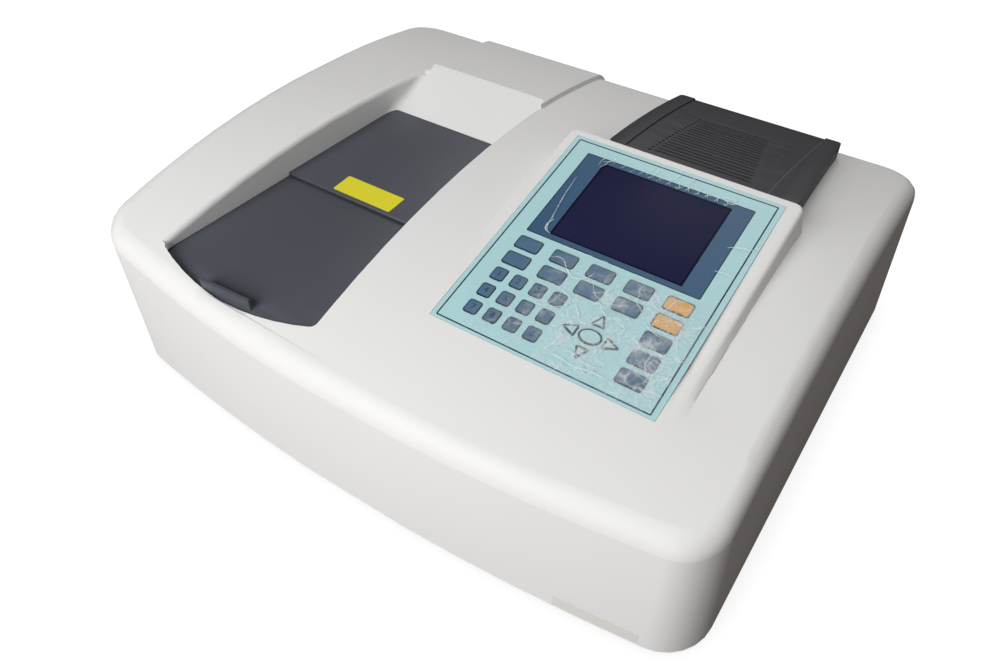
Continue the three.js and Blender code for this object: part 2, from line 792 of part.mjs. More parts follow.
// Top cover
function topCover() {
  const bottomCut = coverLift - overrun;
  const slopeTopZ = archHeight(slopeTopY) + platformRise;
  const slopeFootZ = deckTop;
  const platformFront = slopeTopY - (platformRise * rearSlopeRun) / (slopeTopZ - slopeFootZ);
  const platformBottom = archHeight(backY) - edgeRadius * 2;
  const platformProfile = new THREE.Shape([
    new THREE.Vector2(platformLeft - platformBevel, platformBottom),
    new THREE.Vector2(recessRight + platformBevel, platformBottom),
    new THREE.Vector2(recessRight + platformBevel, archHeight(backY)),
    new THREE.Vector2(recessRight, crownHeight + platformRise),
    new THREE.Vector2(platformLeft, crownHeight + platformRise),
    new THREE.Vector2(platformLeft - platformBevel, archHeight(backY)),
  ]);
  const platform = housingBody(0, -platformRise, platformBottom)
    .intersect(alongY(platformProfile, platformFront, backY + overrun));
  const outer = join(housingBody(0, 0, coverLift), bezelBody(0, 0), platform);
  const inner = join(housingBody(wall, wall, bottomCut), bezelBody(wall, pocketDepth + wall));

  // The recess is open down to the lid, and its rear wall slopes up to the label platform
  const high = crownHeight + platformRise + overrun;
  const farFront = frontY - overrun;
  const recessProfile = new THREE.Shape([
    new THREE.Vector2(farFront, plateBottom - overrun),
    new THREE.Vector2(slopeFootY, plateBottom - overrun),
    new THREE.Vector2(slopeFootY, slopeFootZ),
    new THREE.Vector2(slopeTopY, slopeTopZ),
    new THREE.Vector2(slopeTopY, high),
    new THREE.Vector2(farFront, high),
  ]);
  const slopeShift = wall / Math.sin(Math.atan2(slopeTopZ - slopeFootZ, rearSlopeRun));
  const recessLiningProfile = new THREE.Shape([
    new THREE.Vector2(farFront, lidTop + gap),
    new THREE.Vector2(seamY - gap, lidTop + gap),
    new THREE.Vector2(seamY - gap, deckTop + gap),
    new THREE.Vector2(slopeFootY + slopeShift, deckTop + gap),
    new THREE.Vector2(slopeTopY + slopeShift, slopeTopZ),
    new THREE.Vector2(slopeTopY + slopeShift, high),
    new THREE.Vector2(farFront, high),
  ]);
  const acrossX = [-sideX, sideX];
  const recess = upright(recessShape(0), plateBottom - overrun, high)
    .intersect(alongX(recessProfile, ...acrossX));
  const lining = upright(recessShape(wall, slopeTopY + slopeShift), lidTop + gap, high)
    .intersect(alongX(recessLiningProfile, ...acrossX));

  // The lamp opening goes through the arch, and the back wall has its two bays
  const lampOpening = upright(lampOpeningShape(), seat + houseHeight, high);
  const bayRight = bayLeft + bayWidth;
  const bayTop = bayBottom + bayHeight;
  const fanTop = fanBottom + fanSide + gap;
  const fanHalf = fanSide / 2 + gap;
  const pads = join(
    box(bayLeft - wall, bayRight + wall, bayFloorY - wall, backY, bayBottom - wall, bayTop + wall),
    box(fanX - fanHalf - wall, fanX + fanHalf + wall, bayFloorY - wall, backY, bayBottom - wall,
      fanTop + wall));
  const bays = join(
    box(bayLeft, bayRight, bayFloorY, backY + overrun, bayBottom, bayTop),
    box(fanX - fanHalf, fanX + fanHalf, bayFloorY, backY + overrun, bayBottom, fanTop));
  const padsInside = pads.intersect(housingBody(0, 0, coverLift));
  const shell = cut(outer, cut(inner, lining), recess, lampOpening);
  let cover = cut(join(shell, padsInside), bays);

  // Through holes of the rear bays
  const through = (shape) => alongY(shape, bayFloorY - wall - overrun, backY + overrun);
  const holes = [
    through(centred(inletX, connectorZ, inletWidth + 2 * gap, inletHeight + 2 * gap)),
    through(centred(switchX, connectorZ, switchWidth + 2 * gap, switchHeight + 2 * gap)),
    through(centred(portX, connectorZ, portShellWidth + 2 * gap, portShellHeight + 2 * gap)),
  ];
  const grillePitch = (fanSide - fanStrut * 2) / grilleSlotCount;
  for (let slot = 0; slot < grilleSlotCount; slot += 1) {
    const z = fanZ + grillePitch * (slot - (grilleSlotCount - 1) / 2);
    holes.push(through(centred(fanX, z, grilleSlotLength, grilleSlotWidth)));
  }
  cover = cut(cover, ...holes);

  // The pocket for the overlay and the hole for the display
  const panelPocket = inPanelFrame(upright(rectangle(-gap, panelWidth + gap, -gap, panelLength + gap),
    -pocketDepth, overrun * 2));
  const displayHole = inPanelFrame(upright(centred(windowCentreX, windowCentreY,
    windowWidth - 2 * windowLedge, windowHeight - 2 * windowLedge), -pocketDepth - wall * 2, overrun));
  return cut(cover, panelPocket, displayHole);
}

add(part, 'top_cover', topCover(), 0xe9e9e6, 0.45);

// Base pan: a sheet tray that follows the housing's outline inside its walls
const panInset = wall + gap + panRim * Math.tan(draftAngle) + panLift * Math.tan(draftAngle);
const basePan = cut(
  upright(outlineShape(panInset), panBottom, panBottom + panRim),
  upright(outlineShape(panInset + panThickness), panTop, panBottom + panRim + overrun));
add(part, 'base_pan', basePan, 0xb9bcbf, 0.4, 0.8);

for (const [name, sideways, endways] of [['front_left', -1, -1], ['front_right', 1, -1],
  ['rear_left', -1, 1], ['rear_right', 1, 1]]) {
  const top = panBottom - gap;
  const profile = [new THREE.Vector2(0, 0), new THREE.Vector2(footRadius - footFlare, 0),
    new THREE.Vector2(footRadius, top), new THREE.Vector2(0, top)];
  const foot = new THREE.LatheGeometry(profile, circleSteps).rotateX(Math.PI / 2);
  foot.translate(sideways * (sideX - footSideInset), endways * (backY - footEndInset), 0);
  add(part, `foot_${name}`, solid(foot), 0x2b2b2d, 0.8);
}

// Sample lid: a plate that rolls down at its front edge and carries the finger lip. Under the sides of
// the recess it is straight, so that it slides on the tub's runners between the legs of the deck.
function sampleLid() {
  const frontEdge = recessApex + lidSideGap;
  const rollStart = frontEdge + lidRollLength;
  const rear = seamY + lidOverlap;
  const topAt = (share) => lidTop - lidRollDrop * share ** 2;
  const profile = new THREE.Shape();
  profile.moveTo(rear, lidTop);
  profile.lineTo(rollStart, lidTop);
  for (let step = 1; step <= edgeSteps; step += 1) {
    const share = step / edgeSteps;
    profile.lineTo(rollStart - lidRollLength * share, topAt(share));
  }
  for (let step = edgeSteps; step >= 0; step -= 1) {
    const share = step / edgeSteps;
    profile.lineTo(rollStart - lidRollLength * share, topAt(share) - lidThickness);
  }
  profile.lineTo(rear, lidBottom);
  profile.closePath();
  const plan = upright(recessShape(-lidSideGap), lidBottom - lidRollDrop - overrun, lidTop + overrun);
  const plate = alongX(profile, -sideX, sideX).intersect(plan);
  const flanges = box(deckLeft + deckLeg + gap, deckRight - deckLeg - gap, frontEdge + lidFlangeInset, rear,
    lidBottom, lidTop);
  const lipX = recessRight - lipFromRight - lipLength / 2;
  const lipY = recessFrontAt(lipX, 0) + lidSideGap + lipSetback;
  const lipBottom = lidTop - lidRollDrop - lidThickness / 2;
  const lipShape = centred(0, 0, lipLength, lipThickness, lipThickness / 3);
  const lip = solid(extruded(lipShape, lidTop + lipRise - lipBottom).rotateZ(lipTurn)
    .translate(lipX, lipY + lipThickness, lipBottom));
  return join(plate, flanges, lip);
}
add(part, 'sample_lid', sampleLid(), 0x4a4d55, 0.55);

// Rear deck: a fixed channel over the lid's path, one step above it
const deckRear = slopeFootY + plateRearMargin - gap;
const rearDeck = join(
  box(deckLeft, deckRight, seamY, deckRear, deckBottom, deckTop),
  box(deckLeft, deckLeft + deckLeg, seamY, deckRear, lidBottom, deckTop),
  box(deckRight - deckLeg, deckRight, seamY, deckRear, lidBottom, deckTop));
add(part, 'rear_deck', rearDeck, 0x4c4f57, 0.55);

// Control panel: the overlay sheet lies in the bezel's pocket with its keys in its holes
part.add(panelFrame);
const windowHole = centred(windowCentreX, windowCentreY, windowWidth + 2 * gap, windowHeight + 2 * gap, gap);
const overlayShape = rectangle(0, panelWidth, 0, panelLength);
overlayShape.holes.push(windowHole);
keyOutlines(gap).forEach(([, outline]) => overlayShape.holes.push(outline));
add(panelFrame, 'keypad_overlay', upright(overlayShape, -overlayThickness, 0), 0xb4dade, 0.35);
keyOutlines(0).forEach(([name, outline]) => {
  const yellow = name === 'key_side_1' || name === 'key_side_2';
  const bottom = -pocketDepth + keyTravel + keySinkGap / 2;
  add(panelFrame, name, upright(outline, bottom, keyProud), yellow ? 0xe0a83a : 0x587994, 0.4);
});
const windowBottom = -pocketDepth + gap;
add(panelFrame, 'display_window', upright(centred(windowCentreX, windowCentreY, windowWidth, windowHeight),
  windowBottom, windowBottom + windowThickness), 0x26243f, 0.12);
const moduleTop = -pocketDepth - wall - gap;
const displayModule = join(
  upright(centred(windowCentreX, windowCentreY, windowWidth + moduleMargin, windowHeight + moduleMargin),
    moduleTop - moduleThickness, moduleTop),
  upright(centred(windowCentreX, windowCentreY, windowWidth - 2 * windowLedge - 2 * gap,
    windowHeight - 2 * windowLedge - 2 * gap), moduleTop - gap, windowBottom - gap));
add(panelFrame, 'display_module', displayModule, 0x3a4a3f, 0.6);

// Lamp cover
function lampCover() {
  const high = lampCoverTop(lampCoverFrontY, -railRise) + overrun;
  const bodyOf = (inset, lift, drop) => underLampCover(lift, drop)
    .intersect(upright(lampCoverPlan(inset), coverLift, high));
  const halfFront = lampCoverFrontWidth / 2;
  const halfRear = lampCoverRearWidth / 2;
  const betweenRails = new THREE.Shape([
    new THREE.Vector2(lampCoverX - halfFront + railWidth, lampCoverFrontY - overrun),
    new THREE.Vector2(lampCoverX + halfFront - railWidth, lampCoverFrontY - overrun),
    new THREE.Vector2(lampCoverX + halfRear - railWidth, lampCoverRearY + overrun),
    new THREE.Vector2(lampCoverX - halfRear + railWidth, lampCoverRearY + overrun),
  ]);
  const trough = slabBetween((y) => lampCoverTop(y, 0), (y) => lampCoverTop(y, -overrun))
    .intersect(upright(betweenRails, coverLift, high));
  const hollow = bodyOf(lampCoverWall, -overrun, lampCoverWall);
  const slots = [];
  for (let index = 0; index < slotCount; index += 1) {
    const share = index / (slotCount - 1);
    const y = THREE.MathUtils.lerp(lampCoverFrontY + slotFrontInset, lampCoverRearY - slotRearInset, share);
    const start = THREE.MathUtils.lerp(slotFrontStart, slotRearStart, share);
    const left = lampCoverX - halfFront + railWidth + start;
    const right = left + THREE.MathUtils.lerp(slotFrontLength, slotRearLength, share);
    slots.push(box(left, right, y - slotWidth / 2, y + slotWidth / 2, crownHeight, high));
  }
  return cut(bodyOf(0, gap, -railRise), trough, hollow, ...slots);
}
add(part, 'lamp_cover', lampCover(), 0x33363b, 0.6);

// Sample tub: the light-tight well, its top plate with the lid's two runners, and its skirt on the pan
const wellRight = recessRight - wellRightInset;
const wellLeft = wellRight - wellWidth;
const wellBack = seamY - wellFromSeam;
const wellFront = wellBack - wellLength;
const carriageFront = wellFront + carriageStart;
const carriageLength = cellCount * cellPitch + 2 * carriageEnd;
const carriageBottom = wellFloor + gap;
const cellBottom = carriageBottom + carriageFloor;
const beamY = carriageFront + carriageEnd + cellPitch * (cellCount - 1 / 2);
const beamZ = cellBottom + gap + beamAboveCell;
const carriageX = (wellLeft + wellRight) / 2;
function sampleTub() {
  const plateRear = slopeFootY + plateRearMargin;
  const plateLeft = recessLeftFront - plateSideMargin;
  const plateRight = recessRight + plateSideMargin - gap;
  const plateFront = wellFront - plateFrontMargin - tubWall;
  const leftRunnerEdge = recessLeftFront + lidSideGap - gap;
  const rightRunnerEdge = recessRight - lidSideGap + gap;
  const body = join(
    box(wellLeft - tubWall, wellRight + tubWall, wellFront - tubWall, wellBack + tubWall, seat, plateTop),
    box(plateLeft, plateRight, plateFront, plateRear, plateBottom, plateTop),
    box(plateLeft, leftRunnerEdge, plateFront, plateRear, plateBottom, runnerTop),
    box(rightRunnerEdge, plateRight, plateFront, plateRear, plateBottom, runnerTop),
    box(plateLeft, plateLeft + tubWall, plateRear - plateRearMargin, plateRear, seat, plateTop),
    box(plateRight - tubWall, plateRight, plateRear - plateRearMargin, plateRear, seat, plateTop));
  const floorBottom = wellFloor - wellFloorThickness;
  return join(cut(body,
    box(wellLeft, wellRight, wellFront, wellBack, wellFloor, plateTop + overrun),
    box(wellLeft, wellRight, wellFront, wellBack, seat - overrun, floorBottom),
    rodAlongX(wellLeft - tubWall - overrun, wellRight + tubWall + overrun, beamY, beamZ, beamHoleRadius)),
  box(carriageX - railGuideWidth / 2, carriageX + railGuideWidth / 2, wellFront, wellBack,
    floorBottom, wellFloor + railGuideHeight));
}
add(part, 'sample_tub', sampleTub(), 0x2c2e33, 0.7);

const cellCentreY = (cell) => carriageFront + carriageEnd + cellPitch * (cell + 1 / 2);
function cellCarriage() {
  const left = carriageX - carriageWidth / 2;
  const right = carriageX + carriageWidth / 2;
  const top = carriageBottom + carriageHeight;
  const block = box(left, right, carriageFront, carriageFront + carriageLength, carriageBottom, top);
  const guide = box(carriageX - railGuideWidth / 2 - gap, carriageX + railGuideWidth / 2 + gap,
    carriageFront - overrun, carriageFront + carriageLength + overrun,
    carriageBottom - overrun, wellFloor + railGuideHeight + gap);
  const cuts = [guide];
  const half = cuvetteSide / 2 + gap;
  for (let cell = 0; cell < cellCount; cell += 1) {
    const y = cellCentreY(cell);
    cuts.push(box(carriageX - half, carriageX + half, y - half, y + half, cellBottom, top + overrun));
    cuts.push(box(left - overrun, right + overrun, y - cellWindowWidth / 2, y + cellWindowWidth / 2,
      beamZ - cellWindowHeight / 2, beamZ + cellWindowHeight / 2));
  }
  return cut(block, ...cuts);
}
add(part, 'cell_carriage', cellCarriage(), 0x3c3f45, 0.5, 0.4);

for (const [name, cell] of [['cuvette_reference', 0], ['cuvette_sample', cellCount - 1]]) {
  const half = cuvetteSide / 2;
  const bore = half - cuvetteWall;
  const y = cellCentreY(cell);
  const bottom = cellBottom + gap;
  add(part, name, cut(
    box(carriageX - half, carriageX + half, y - half, y + half, bottom, bottom + cuvetteHeight),
    box(carriageX - bore, carriageX + bore, y - bore, y + bore, bottom + cuvetteWall,
      bottom + cuvetteHeight + overrun)), 0xdce8ee, 0.08);
}

// Monochromator: a closed case with an exit slit to the tub and an entrance slit to the lamp house
const caseLeft = wellRight + tubWall + caseFromTub;
const caseRight = sideX - caseSideInset;
const caseFront = frontY + caseFromFront;
const caseBack = caseFront + caseLength;
const caseTop = seat + caseHeight;
const monochromator = cut(
  box(caseLeft, caseRight, caseFront, caseBack, seat, caseTop),
  box(caseLeft + caseWall, caseRight - caseWall, caseFront + caseWall, caseBack - caseWall,
    seat + caseWall, caseTop - caseWall),
  box(caseLeft - overrun, caseLeft + caseWall + overrun, beamY - slitWidth / 2, beamY + slitWidth / 2,
    beamZ - slitHeight / 2, Math.min(beamZ + slitHeight / 2, caseTop - caseWall)),
  box(lampCoverX - slitWidth / 2, lampCoverX + slitWidth / 2, caseBack - caseWall - overrun,
    caseBack + overrun, beamZ - slitHeight / 2, Math.min(beamZ + slitHeight / 2, caseTop - caseWall)));
add(part, 'monochromator_case', monochromator, 0x6e7276, 0.5, 0.7);

const turretX = (caseLeft + caseRight) / 2;
const turretY = (caseFront + caseBack) / 2;
const turretBottom = seat + caseWall + gap;
const gratingTop = Math.min(beamZ + gratingSide / 2, caseTop - caseWall - gap * 4);
add(part, 'grating_turret', join(
  post(turretX, turretY, turretBottom, turretBottom + turretBase, turretRadius),
  box(turretX - gratingSide / 2, turretX + gratingSide / 2, turretY - gratingThickness / 2,
    turretY + gratingThickness / 2, turretBottom, gratingTop)), 0x9aa6ae, 0.3, 0.8);

// Detector block on the far side of the tub, with its tube towards the beam hole
const detectorRight = wellLeft - tubWall - gap;
const detectorLeft = detectorSideInset - sideX;
add(part, 'detector_block', cut(
  box(detectorLeft, detectorRight, beamY - detectorLength / 2, beamY + detectorLength / 2,
    seat, seat + detectorHeight),
  rodAlongX(detectorRight - detectorTube, detectorRight + overrun, beamY, beamZ, detectorTubeRadius)),
0x565a5f, 0.5, 0.5);

// Lamp house: an open-topped tray with a beam hole at its front
const houseFront = bezelRearY + houseFromBezel;
const houseBack = fanFront - houseFromFan;
const houseLeft = lampCoverX - houseWidth / 2;
const houseRight = lampCoverX + houseWidth / 2;
const houseTop = seat + houseHeight;
add(part, 'lamp_house', cut(
  box(houseLeft, houseRight, houseFront, houseBack, seat, houseTop),
  box(houseLeft + houseWall, houseRight - houseWall, houseFront + houseWall, houseBack - houseWall,
    seat + houseWall, houseTop + overrun),
  rodAlongY(lampCoverX, houseFront - overrun, houseFront + houseWall + overrun, beamZ, beamHoleRadius)),
0x8b8f92, 0.45, 0.8);

const lampBottom = seat + houseWall + gap;
const lampY = houseBack - lampFromRear;
const lathe = (points) => new THREE.LatheGeometry(points.map(([x, y]) => new THREE.Vector2(x, y)),
  circleSteps).rotateX(Math.PI / 2);
add(part, 'halogen_lamp', solid(lathe([[0, 0], [halogenBaseRadius, 0], [halogenBaseRadius, halogenBaseHeight],
  [halogenBulbRadius, halogenBaseHeight], [halogenBulbRadius, halogenHeight - halogenBulbRadius],
  [halogenBulbRadius / 2, halogenHeight - halogenBulbRadius / 4], [0, halogenHeight]])
  .translate(lampCoverX - lampSpread, lampY, lampBottom)), 0xe8e6da, 0.2);
add(part, 'deuterium_lamp', solid(lathe([[0, 0], [deuteriumNeck, 0], [deuteriumNeck, deuteriumNeck],
  [deuteriumRadius, deuteriumNeck * 2], [deuteriumRadius, deuteriumHeight - deuteriumRadius],
  [deuteriumRadius / 2, deuteriumHeight - deuteriumRadius / 4], [0, deuteriumHeight]])
  .translate(lampCoverX + lampSpread, lampY, lampBottom)), 0xe3e8ee, 0.15);
const mirrorY = houseFront + houseWall + mirrorFromFront;
add(part, 'source_mirror', join(
  post(lampCoverX, mirrorY, lampBottom, beamZ - mirrorSide / 4, mirrorPostRadius),
  box(lampCoverX - mirrorSide / 2, lampCoverX + mirrorSide / 2, mirrorY - mirrorThickness / 2,
    mirrorY + mirrorThickness / 2, beamZ - mirrorSide / 2, beamZ + mirrorSide / 2)), 0xcfd3d6, 0.1, 1);

// Main board on the pan under the rear deck, with standoffs and chips as one body
const boardRight = wellRight;
const boardLeft = boardRight - boardWidth;
const boardFront = wellBack + tubWall + overrun;
const boardBack = boardFront + boardLength;
const boardBottom = seat + boardStandoff;
const chipShares = [[0.22, 0.3, 0.2, 0.16], [0.52, 0.35, 0.14, 0.3], [0.75, 0.65, 0.26, 0.14],
  [0.3, 0.72, 0.3, 0.12]];
const standoffInset = boardStandoffRadius * 2;
const mainBoard = join(
  box(boardLeft, boardRight, boardFront, boardBack, boardBottom, boardBottom + boardThickness),
  ...[boardLeft + standoffInset, boardRight - standoffInset].flatMap((x) =>
    [boardFront + standoffInset, boardBack - standoffInset].map((y) =>
      post(x, y, seat, boardBottom + boardThickness, boardStandoffRadius, cornerSteps))),
  ...chipShares.map(([acrossShare, alongShare, widthShare, lengthShare]) => {
    const x = boardLeft + boardWidth * acrossShare;
    const y = boardFront + boardLength * alongShare;
    const halfWidth = (boardWidth * widthShare) / 2;
    const halfLength = (boardLength * lengthShare) / 2;
    return box(x - halfWidth, x + halfWidth, y - halfLength, y + halfLength, boardBottom,
      boardBottom + boardThickness + chipHeight);
  }));
add(part, 'main_board', mainBoard, 0x2f6b46, 0.5);

// Power supply: a vented case that just clears the housing's round rear left corner
const supplyTop = seat + supplyHeight;
const supplyInset = cornerRadius * (1 - Math.SQRT1_2) + wall + gap + supplyTop * Math.tan(draftAngle);
const supplyLeft = -sideX + supplyInset;
const supplyBack = backY - supplyInset;
const supplyFront = supplyBack - supplyLength;
const supplySlots = [];
for (let index = 0; index < supplySlotCount; index += 1) {
  const y = supplyFront + (supplyLength * (index + 1)) / (supplySlotCount + 1);
  supplySlots.push(box(supplyLeft + supplyWidth / 4, supplyLeft + (supplyWidth * 3) / 4,
    y - supplySlotWidth / 2, y + supplySlotWidth / 2, supplyTop - wall, supplyTop + overrun));
}
add(part, 'power_supply', cut(box(supplyLeft, supplyLeft + supplyWidth, supplyFront, supplyBack, seat,
  supplyTop), ...supplySlots), 0xa9adb0, 0.4, 0.9);

// Fan: a square frame with struts that hold the motor, and a rotor of pitched blades
const strutLength = fanSide - fanStrut / 2;
const strutShape = centred(fanX, fanZ, strutLength, fanStrut);
const strutFront = fanFront;
const strutBack = fanFront + fanStrut / 2;
const motorBack = strutBack + fanStrut;
const fanFrame = join(
  cut(alongY(centred(fanX, fanZ, fanSide, fanSide, fanStrut), fanFront, fanBack),
    rodAlongY(fanX, fanFront - overrun, fanBack + overrun, fanZ, fanBore, circleSteps * 2)),
  alongY(strutShape, strutFront, strutBack),
  alongY(centred(fanX, fanZ, fanStrut, strutLength), strutFront, strutBack),
  rodAlongY(fanX, strutFront, strutBack, fanZ, fanHubRadius),
  rodAlongY(fanX, strutFront, motorBack, fanZ, fanAxleRadius));
add(part, 'fan_frame', fanFrame, 0x2a2b2d, 0.6);

function fanRotor() {
  const front = strutBack + fanBladeGap;
  const back = fanBack - fanBladeGap;
  const middle = (front + back) / 2;
  const hub = cut(rodAlongY(fanX, front, back, fanZ, fanHubRadius),
    rodAlongY(fanX, front - overrun, motorBack + gap, fanZ, fanAxleRadius + gap));
  const bladeRoot = fanHubRadius - fanBladeGap;
  const bladeTip = fanBore - fanBladeGap;
  const bladeChord = (back - front) / Math.cos(Math.PI / 2 - fanBladePitch) - fanBladeThickness * 2;
  const blades = [];
  for (let index = 0; index < fanBladeCount; index += 1) {
    const blade = new THREE.BoxGeometry(fanBladeThickness, Math.min(bladeChord, back - front),
      bladeTip - bladeRoot);
    blade.rotateZ(fanBladePitch).translate(0, 0, (bladeTip + bladeRoot) / 2);
    blade.rotateY((2 * Math.PI * index) / fanBladeCount).translate(fanX, middle, fanZ);
    blades.push(solid(blade));
  }
  return join(hub, ...blades);
}
add(part, 'fan_rotor', fanRotor(), 0x35373a, 0.6);

// Power switch: a rocker in its hole in the bay's floor, tilting about X
const rocker = new THREE.Shape([
  new THREE.Vector2(bayFloorY - switchDepth, connectorZ - switchHeight / 2 + switchBevel * 2),
  new THREE.Vector2(bayFloorY - wall - gap, connectorZ - switchHeight / 2 + switchBevel / 2),
  new THREE.Vector2(bayFloorY + switchBevel / 2, connectorZ - switchHeight / 2 + switchBevel / 3),
  new THREE.Vector2(bayFloorY + switchBevel / 4, connectorZ),
  new THREE.Vector2(bayFloorY + switchBevel, connectorZ + switchHeight / 2 - switchBevel / 3),
  new THREE.Vector2(bayFloorY - wall - gap, connectorZ + switchHeight / 2 - switchBevel / 2),
  new THREE.Vector2(bayFloorY - switchDepth, connectorZ + switchHeight / 2 - switchBevel * 2),
]);
const switchBody = alongX(rocker, switchX - switchWidth / 2, switchX + switchWidth / 2);
add(part, 'power_switch', switchBody, 0x1d1e20, 0.4);

// Power inlet: a three-pin socket with its flange on the bay's floor
const inletFlangeFront = bayFloorY + gap;
const inletFace = inletFlangeFront + flangeThickness;
const inletFlangeShape = centred(inletX, connectorZ, inletFlange, inletFlangeHeight, inletWall);
const inletShape = centred(inletX, connectorZ, inletWidth, inletHeight, inletWall);
const inletBody = cut(
  join(
    alongY(inletFlangeShape, inletFlangeFront, inletFace),
    alongY(inletShape, inletFace - inletDepth, inletFace)),
  alongY(centred(inletX, connectorZ, inletWidth - 2 * inletWall, inletHeight - 2 * inletWall),
    inletFace - inletCavityDepth, inletFace + overrun));
const inletPins = [[-pinSpread, 0], [0, pinHeight / 2], [pinSpread, 0]].map(([x, z]) =>
  alongY(centred(inletX + x, connectorZ + z, pinWidth, pinHeight),
    inletFace - inletCavityDepth - inletWall, inletFace - inletCavityDepth + pinLength));
add(part, 'power_inlet', join(inletBody, ...inletPins), 0x18191a, 0.5);

// Data port: a nine-way shell on its flange
const portFlangeFront = bayFloorY + gap;
const portFace = portFlangeFront + flangeThickness;
const shellOut = portFace + portShellDepth / 2;
const portFlangeShape = centred(portX, connectorZ, portWidth, portHeight, portShellWall);
const portShellShape = centred(portX, connectorZ, portShellWidth, portShellHeight, portShellWall);
const dataPort = cut(
  join(
    alongY(portFlangeShape, portFlangeFront, portFace),
    alongY(portShellShape, portFace - portDepth, shellOut)),
  alongY(centred(portX, connectorZ, portShellWidth - 2 * portShellWall, portShellHeight - 2 * portShellWall),
    shellOut - portShellDepth, shellOut + overrun));
add(part, 'data_port', dataPort, 0xb4b7ba, 0.35, 0.9);

export default part;
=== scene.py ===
# %% [markdown]
# # A bench spectrophotometer
# The CAD model already fixes every size and place. This lesson gives its pieces soft edges, printed and
# moulded finishes, and the small details that a camera sees, and then lights the instrument like a
# product photograph. All lengths are metres, in the CAD model's own frame.

# %% Load the frame
import json
import math

import bmesh
import bpy
from mathutils import Matrix, Vector

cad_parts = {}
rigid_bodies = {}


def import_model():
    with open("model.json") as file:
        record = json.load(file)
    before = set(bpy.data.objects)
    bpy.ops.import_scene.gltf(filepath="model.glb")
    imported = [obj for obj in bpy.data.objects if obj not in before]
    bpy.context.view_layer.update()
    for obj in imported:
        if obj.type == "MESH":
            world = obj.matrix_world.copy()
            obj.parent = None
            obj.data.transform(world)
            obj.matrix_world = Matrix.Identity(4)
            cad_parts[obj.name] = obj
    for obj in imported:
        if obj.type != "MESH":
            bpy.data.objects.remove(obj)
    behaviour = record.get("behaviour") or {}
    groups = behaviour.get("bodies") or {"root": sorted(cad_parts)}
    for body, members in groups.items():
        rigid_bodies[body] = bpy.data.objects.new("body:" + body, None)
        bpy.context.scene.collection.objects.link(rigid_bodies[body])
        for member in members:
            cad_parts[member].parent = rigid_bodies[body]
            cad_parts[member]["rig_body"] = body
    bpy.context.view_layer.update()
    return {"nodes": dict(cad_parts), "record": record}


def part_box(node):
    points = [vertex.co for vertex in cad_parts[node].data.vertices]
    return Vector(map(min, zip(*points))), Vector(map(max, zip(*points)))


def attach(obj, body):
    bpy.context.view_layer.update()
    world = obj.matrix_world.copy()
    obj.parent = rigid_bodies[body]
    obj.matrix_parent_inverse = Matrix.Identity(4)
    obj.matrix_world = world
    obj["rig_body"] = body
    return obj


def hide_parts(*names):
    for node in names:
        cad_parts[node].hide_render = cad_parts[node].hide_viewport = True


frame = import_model()
NODES = frame["nodes"]
MM = 0.001


def new_object(name, data):
    """Makes an object for this data and links it to the scene."""
    made = bpy.data.objects.new(name, data)
    bpy.context.scene.collection.objects.link(made)
    return made


# %% [markdown]
# ## Camera
# The camera stands where the photographer stood: its place and lens were worked out from the corners of
# the control panel and the housing. It is made first, because every later choice is judged through it.

# %% Camera
CAMERA_PLACE = Vector((0.3477, -0.5258, 0.6365))
CAMERA_RIGHT = Vector((0.83195, 0.55466, -0.01496))
CAMERA_DOWN = Vector((0.38922, -0.60259, -0.6967))
CAMERA_AHEAD = Vector((-0.39545, 0.57379, -0.71721))
CAMERA_LENS = 30.23
CAMERA_SHIFT = (-0.0051, -0.0031)
SENSOR_WIDTH = 36

camera_data = bpy.data.cameras.new("camera")
camera_data.lens = CAMERA_LENS
camera_data.sensor_width = SENSOR_WIDTH
camera_data.shift_x, camera_data.shift_y = CAMERA_SHIFT
camera = new_object("camera", camera_data)
turn = Matrix((CAMERA_RIGHT, -CAMERA_DOWN, -CAMERA_AHEAD)).transposed()
camera.matrix_world = Matrix.Translation(CAMERA_PLACE) @ turn.to_4x4()
bpy.context.scene.camera = camera
print("camera at", tuple(CAMERA_PLACE))

# %% [markdown]
# ## Shader maths
# A material is a small program. One class wraps a node's output, so that an expression such as
# `1 - mask * 0.5` adds its Math nodes by itself. A second class holds the material and makes any other
# node. Written this way, a finish reads like a formula, and a reader can change one number at a time.

# %% Wires and paints
def srgb(red, green, blue):
    """A colour as a picture editor names it, turned to the linear light that shaders use."""
    def linear(value):
        share = value / 255
        return share / 12.92 if share <= 0.04045 else ((share + 0.055) / 1.055) ** 2.4
    return (linear(red), linear(green), linear(blue), 1.0)


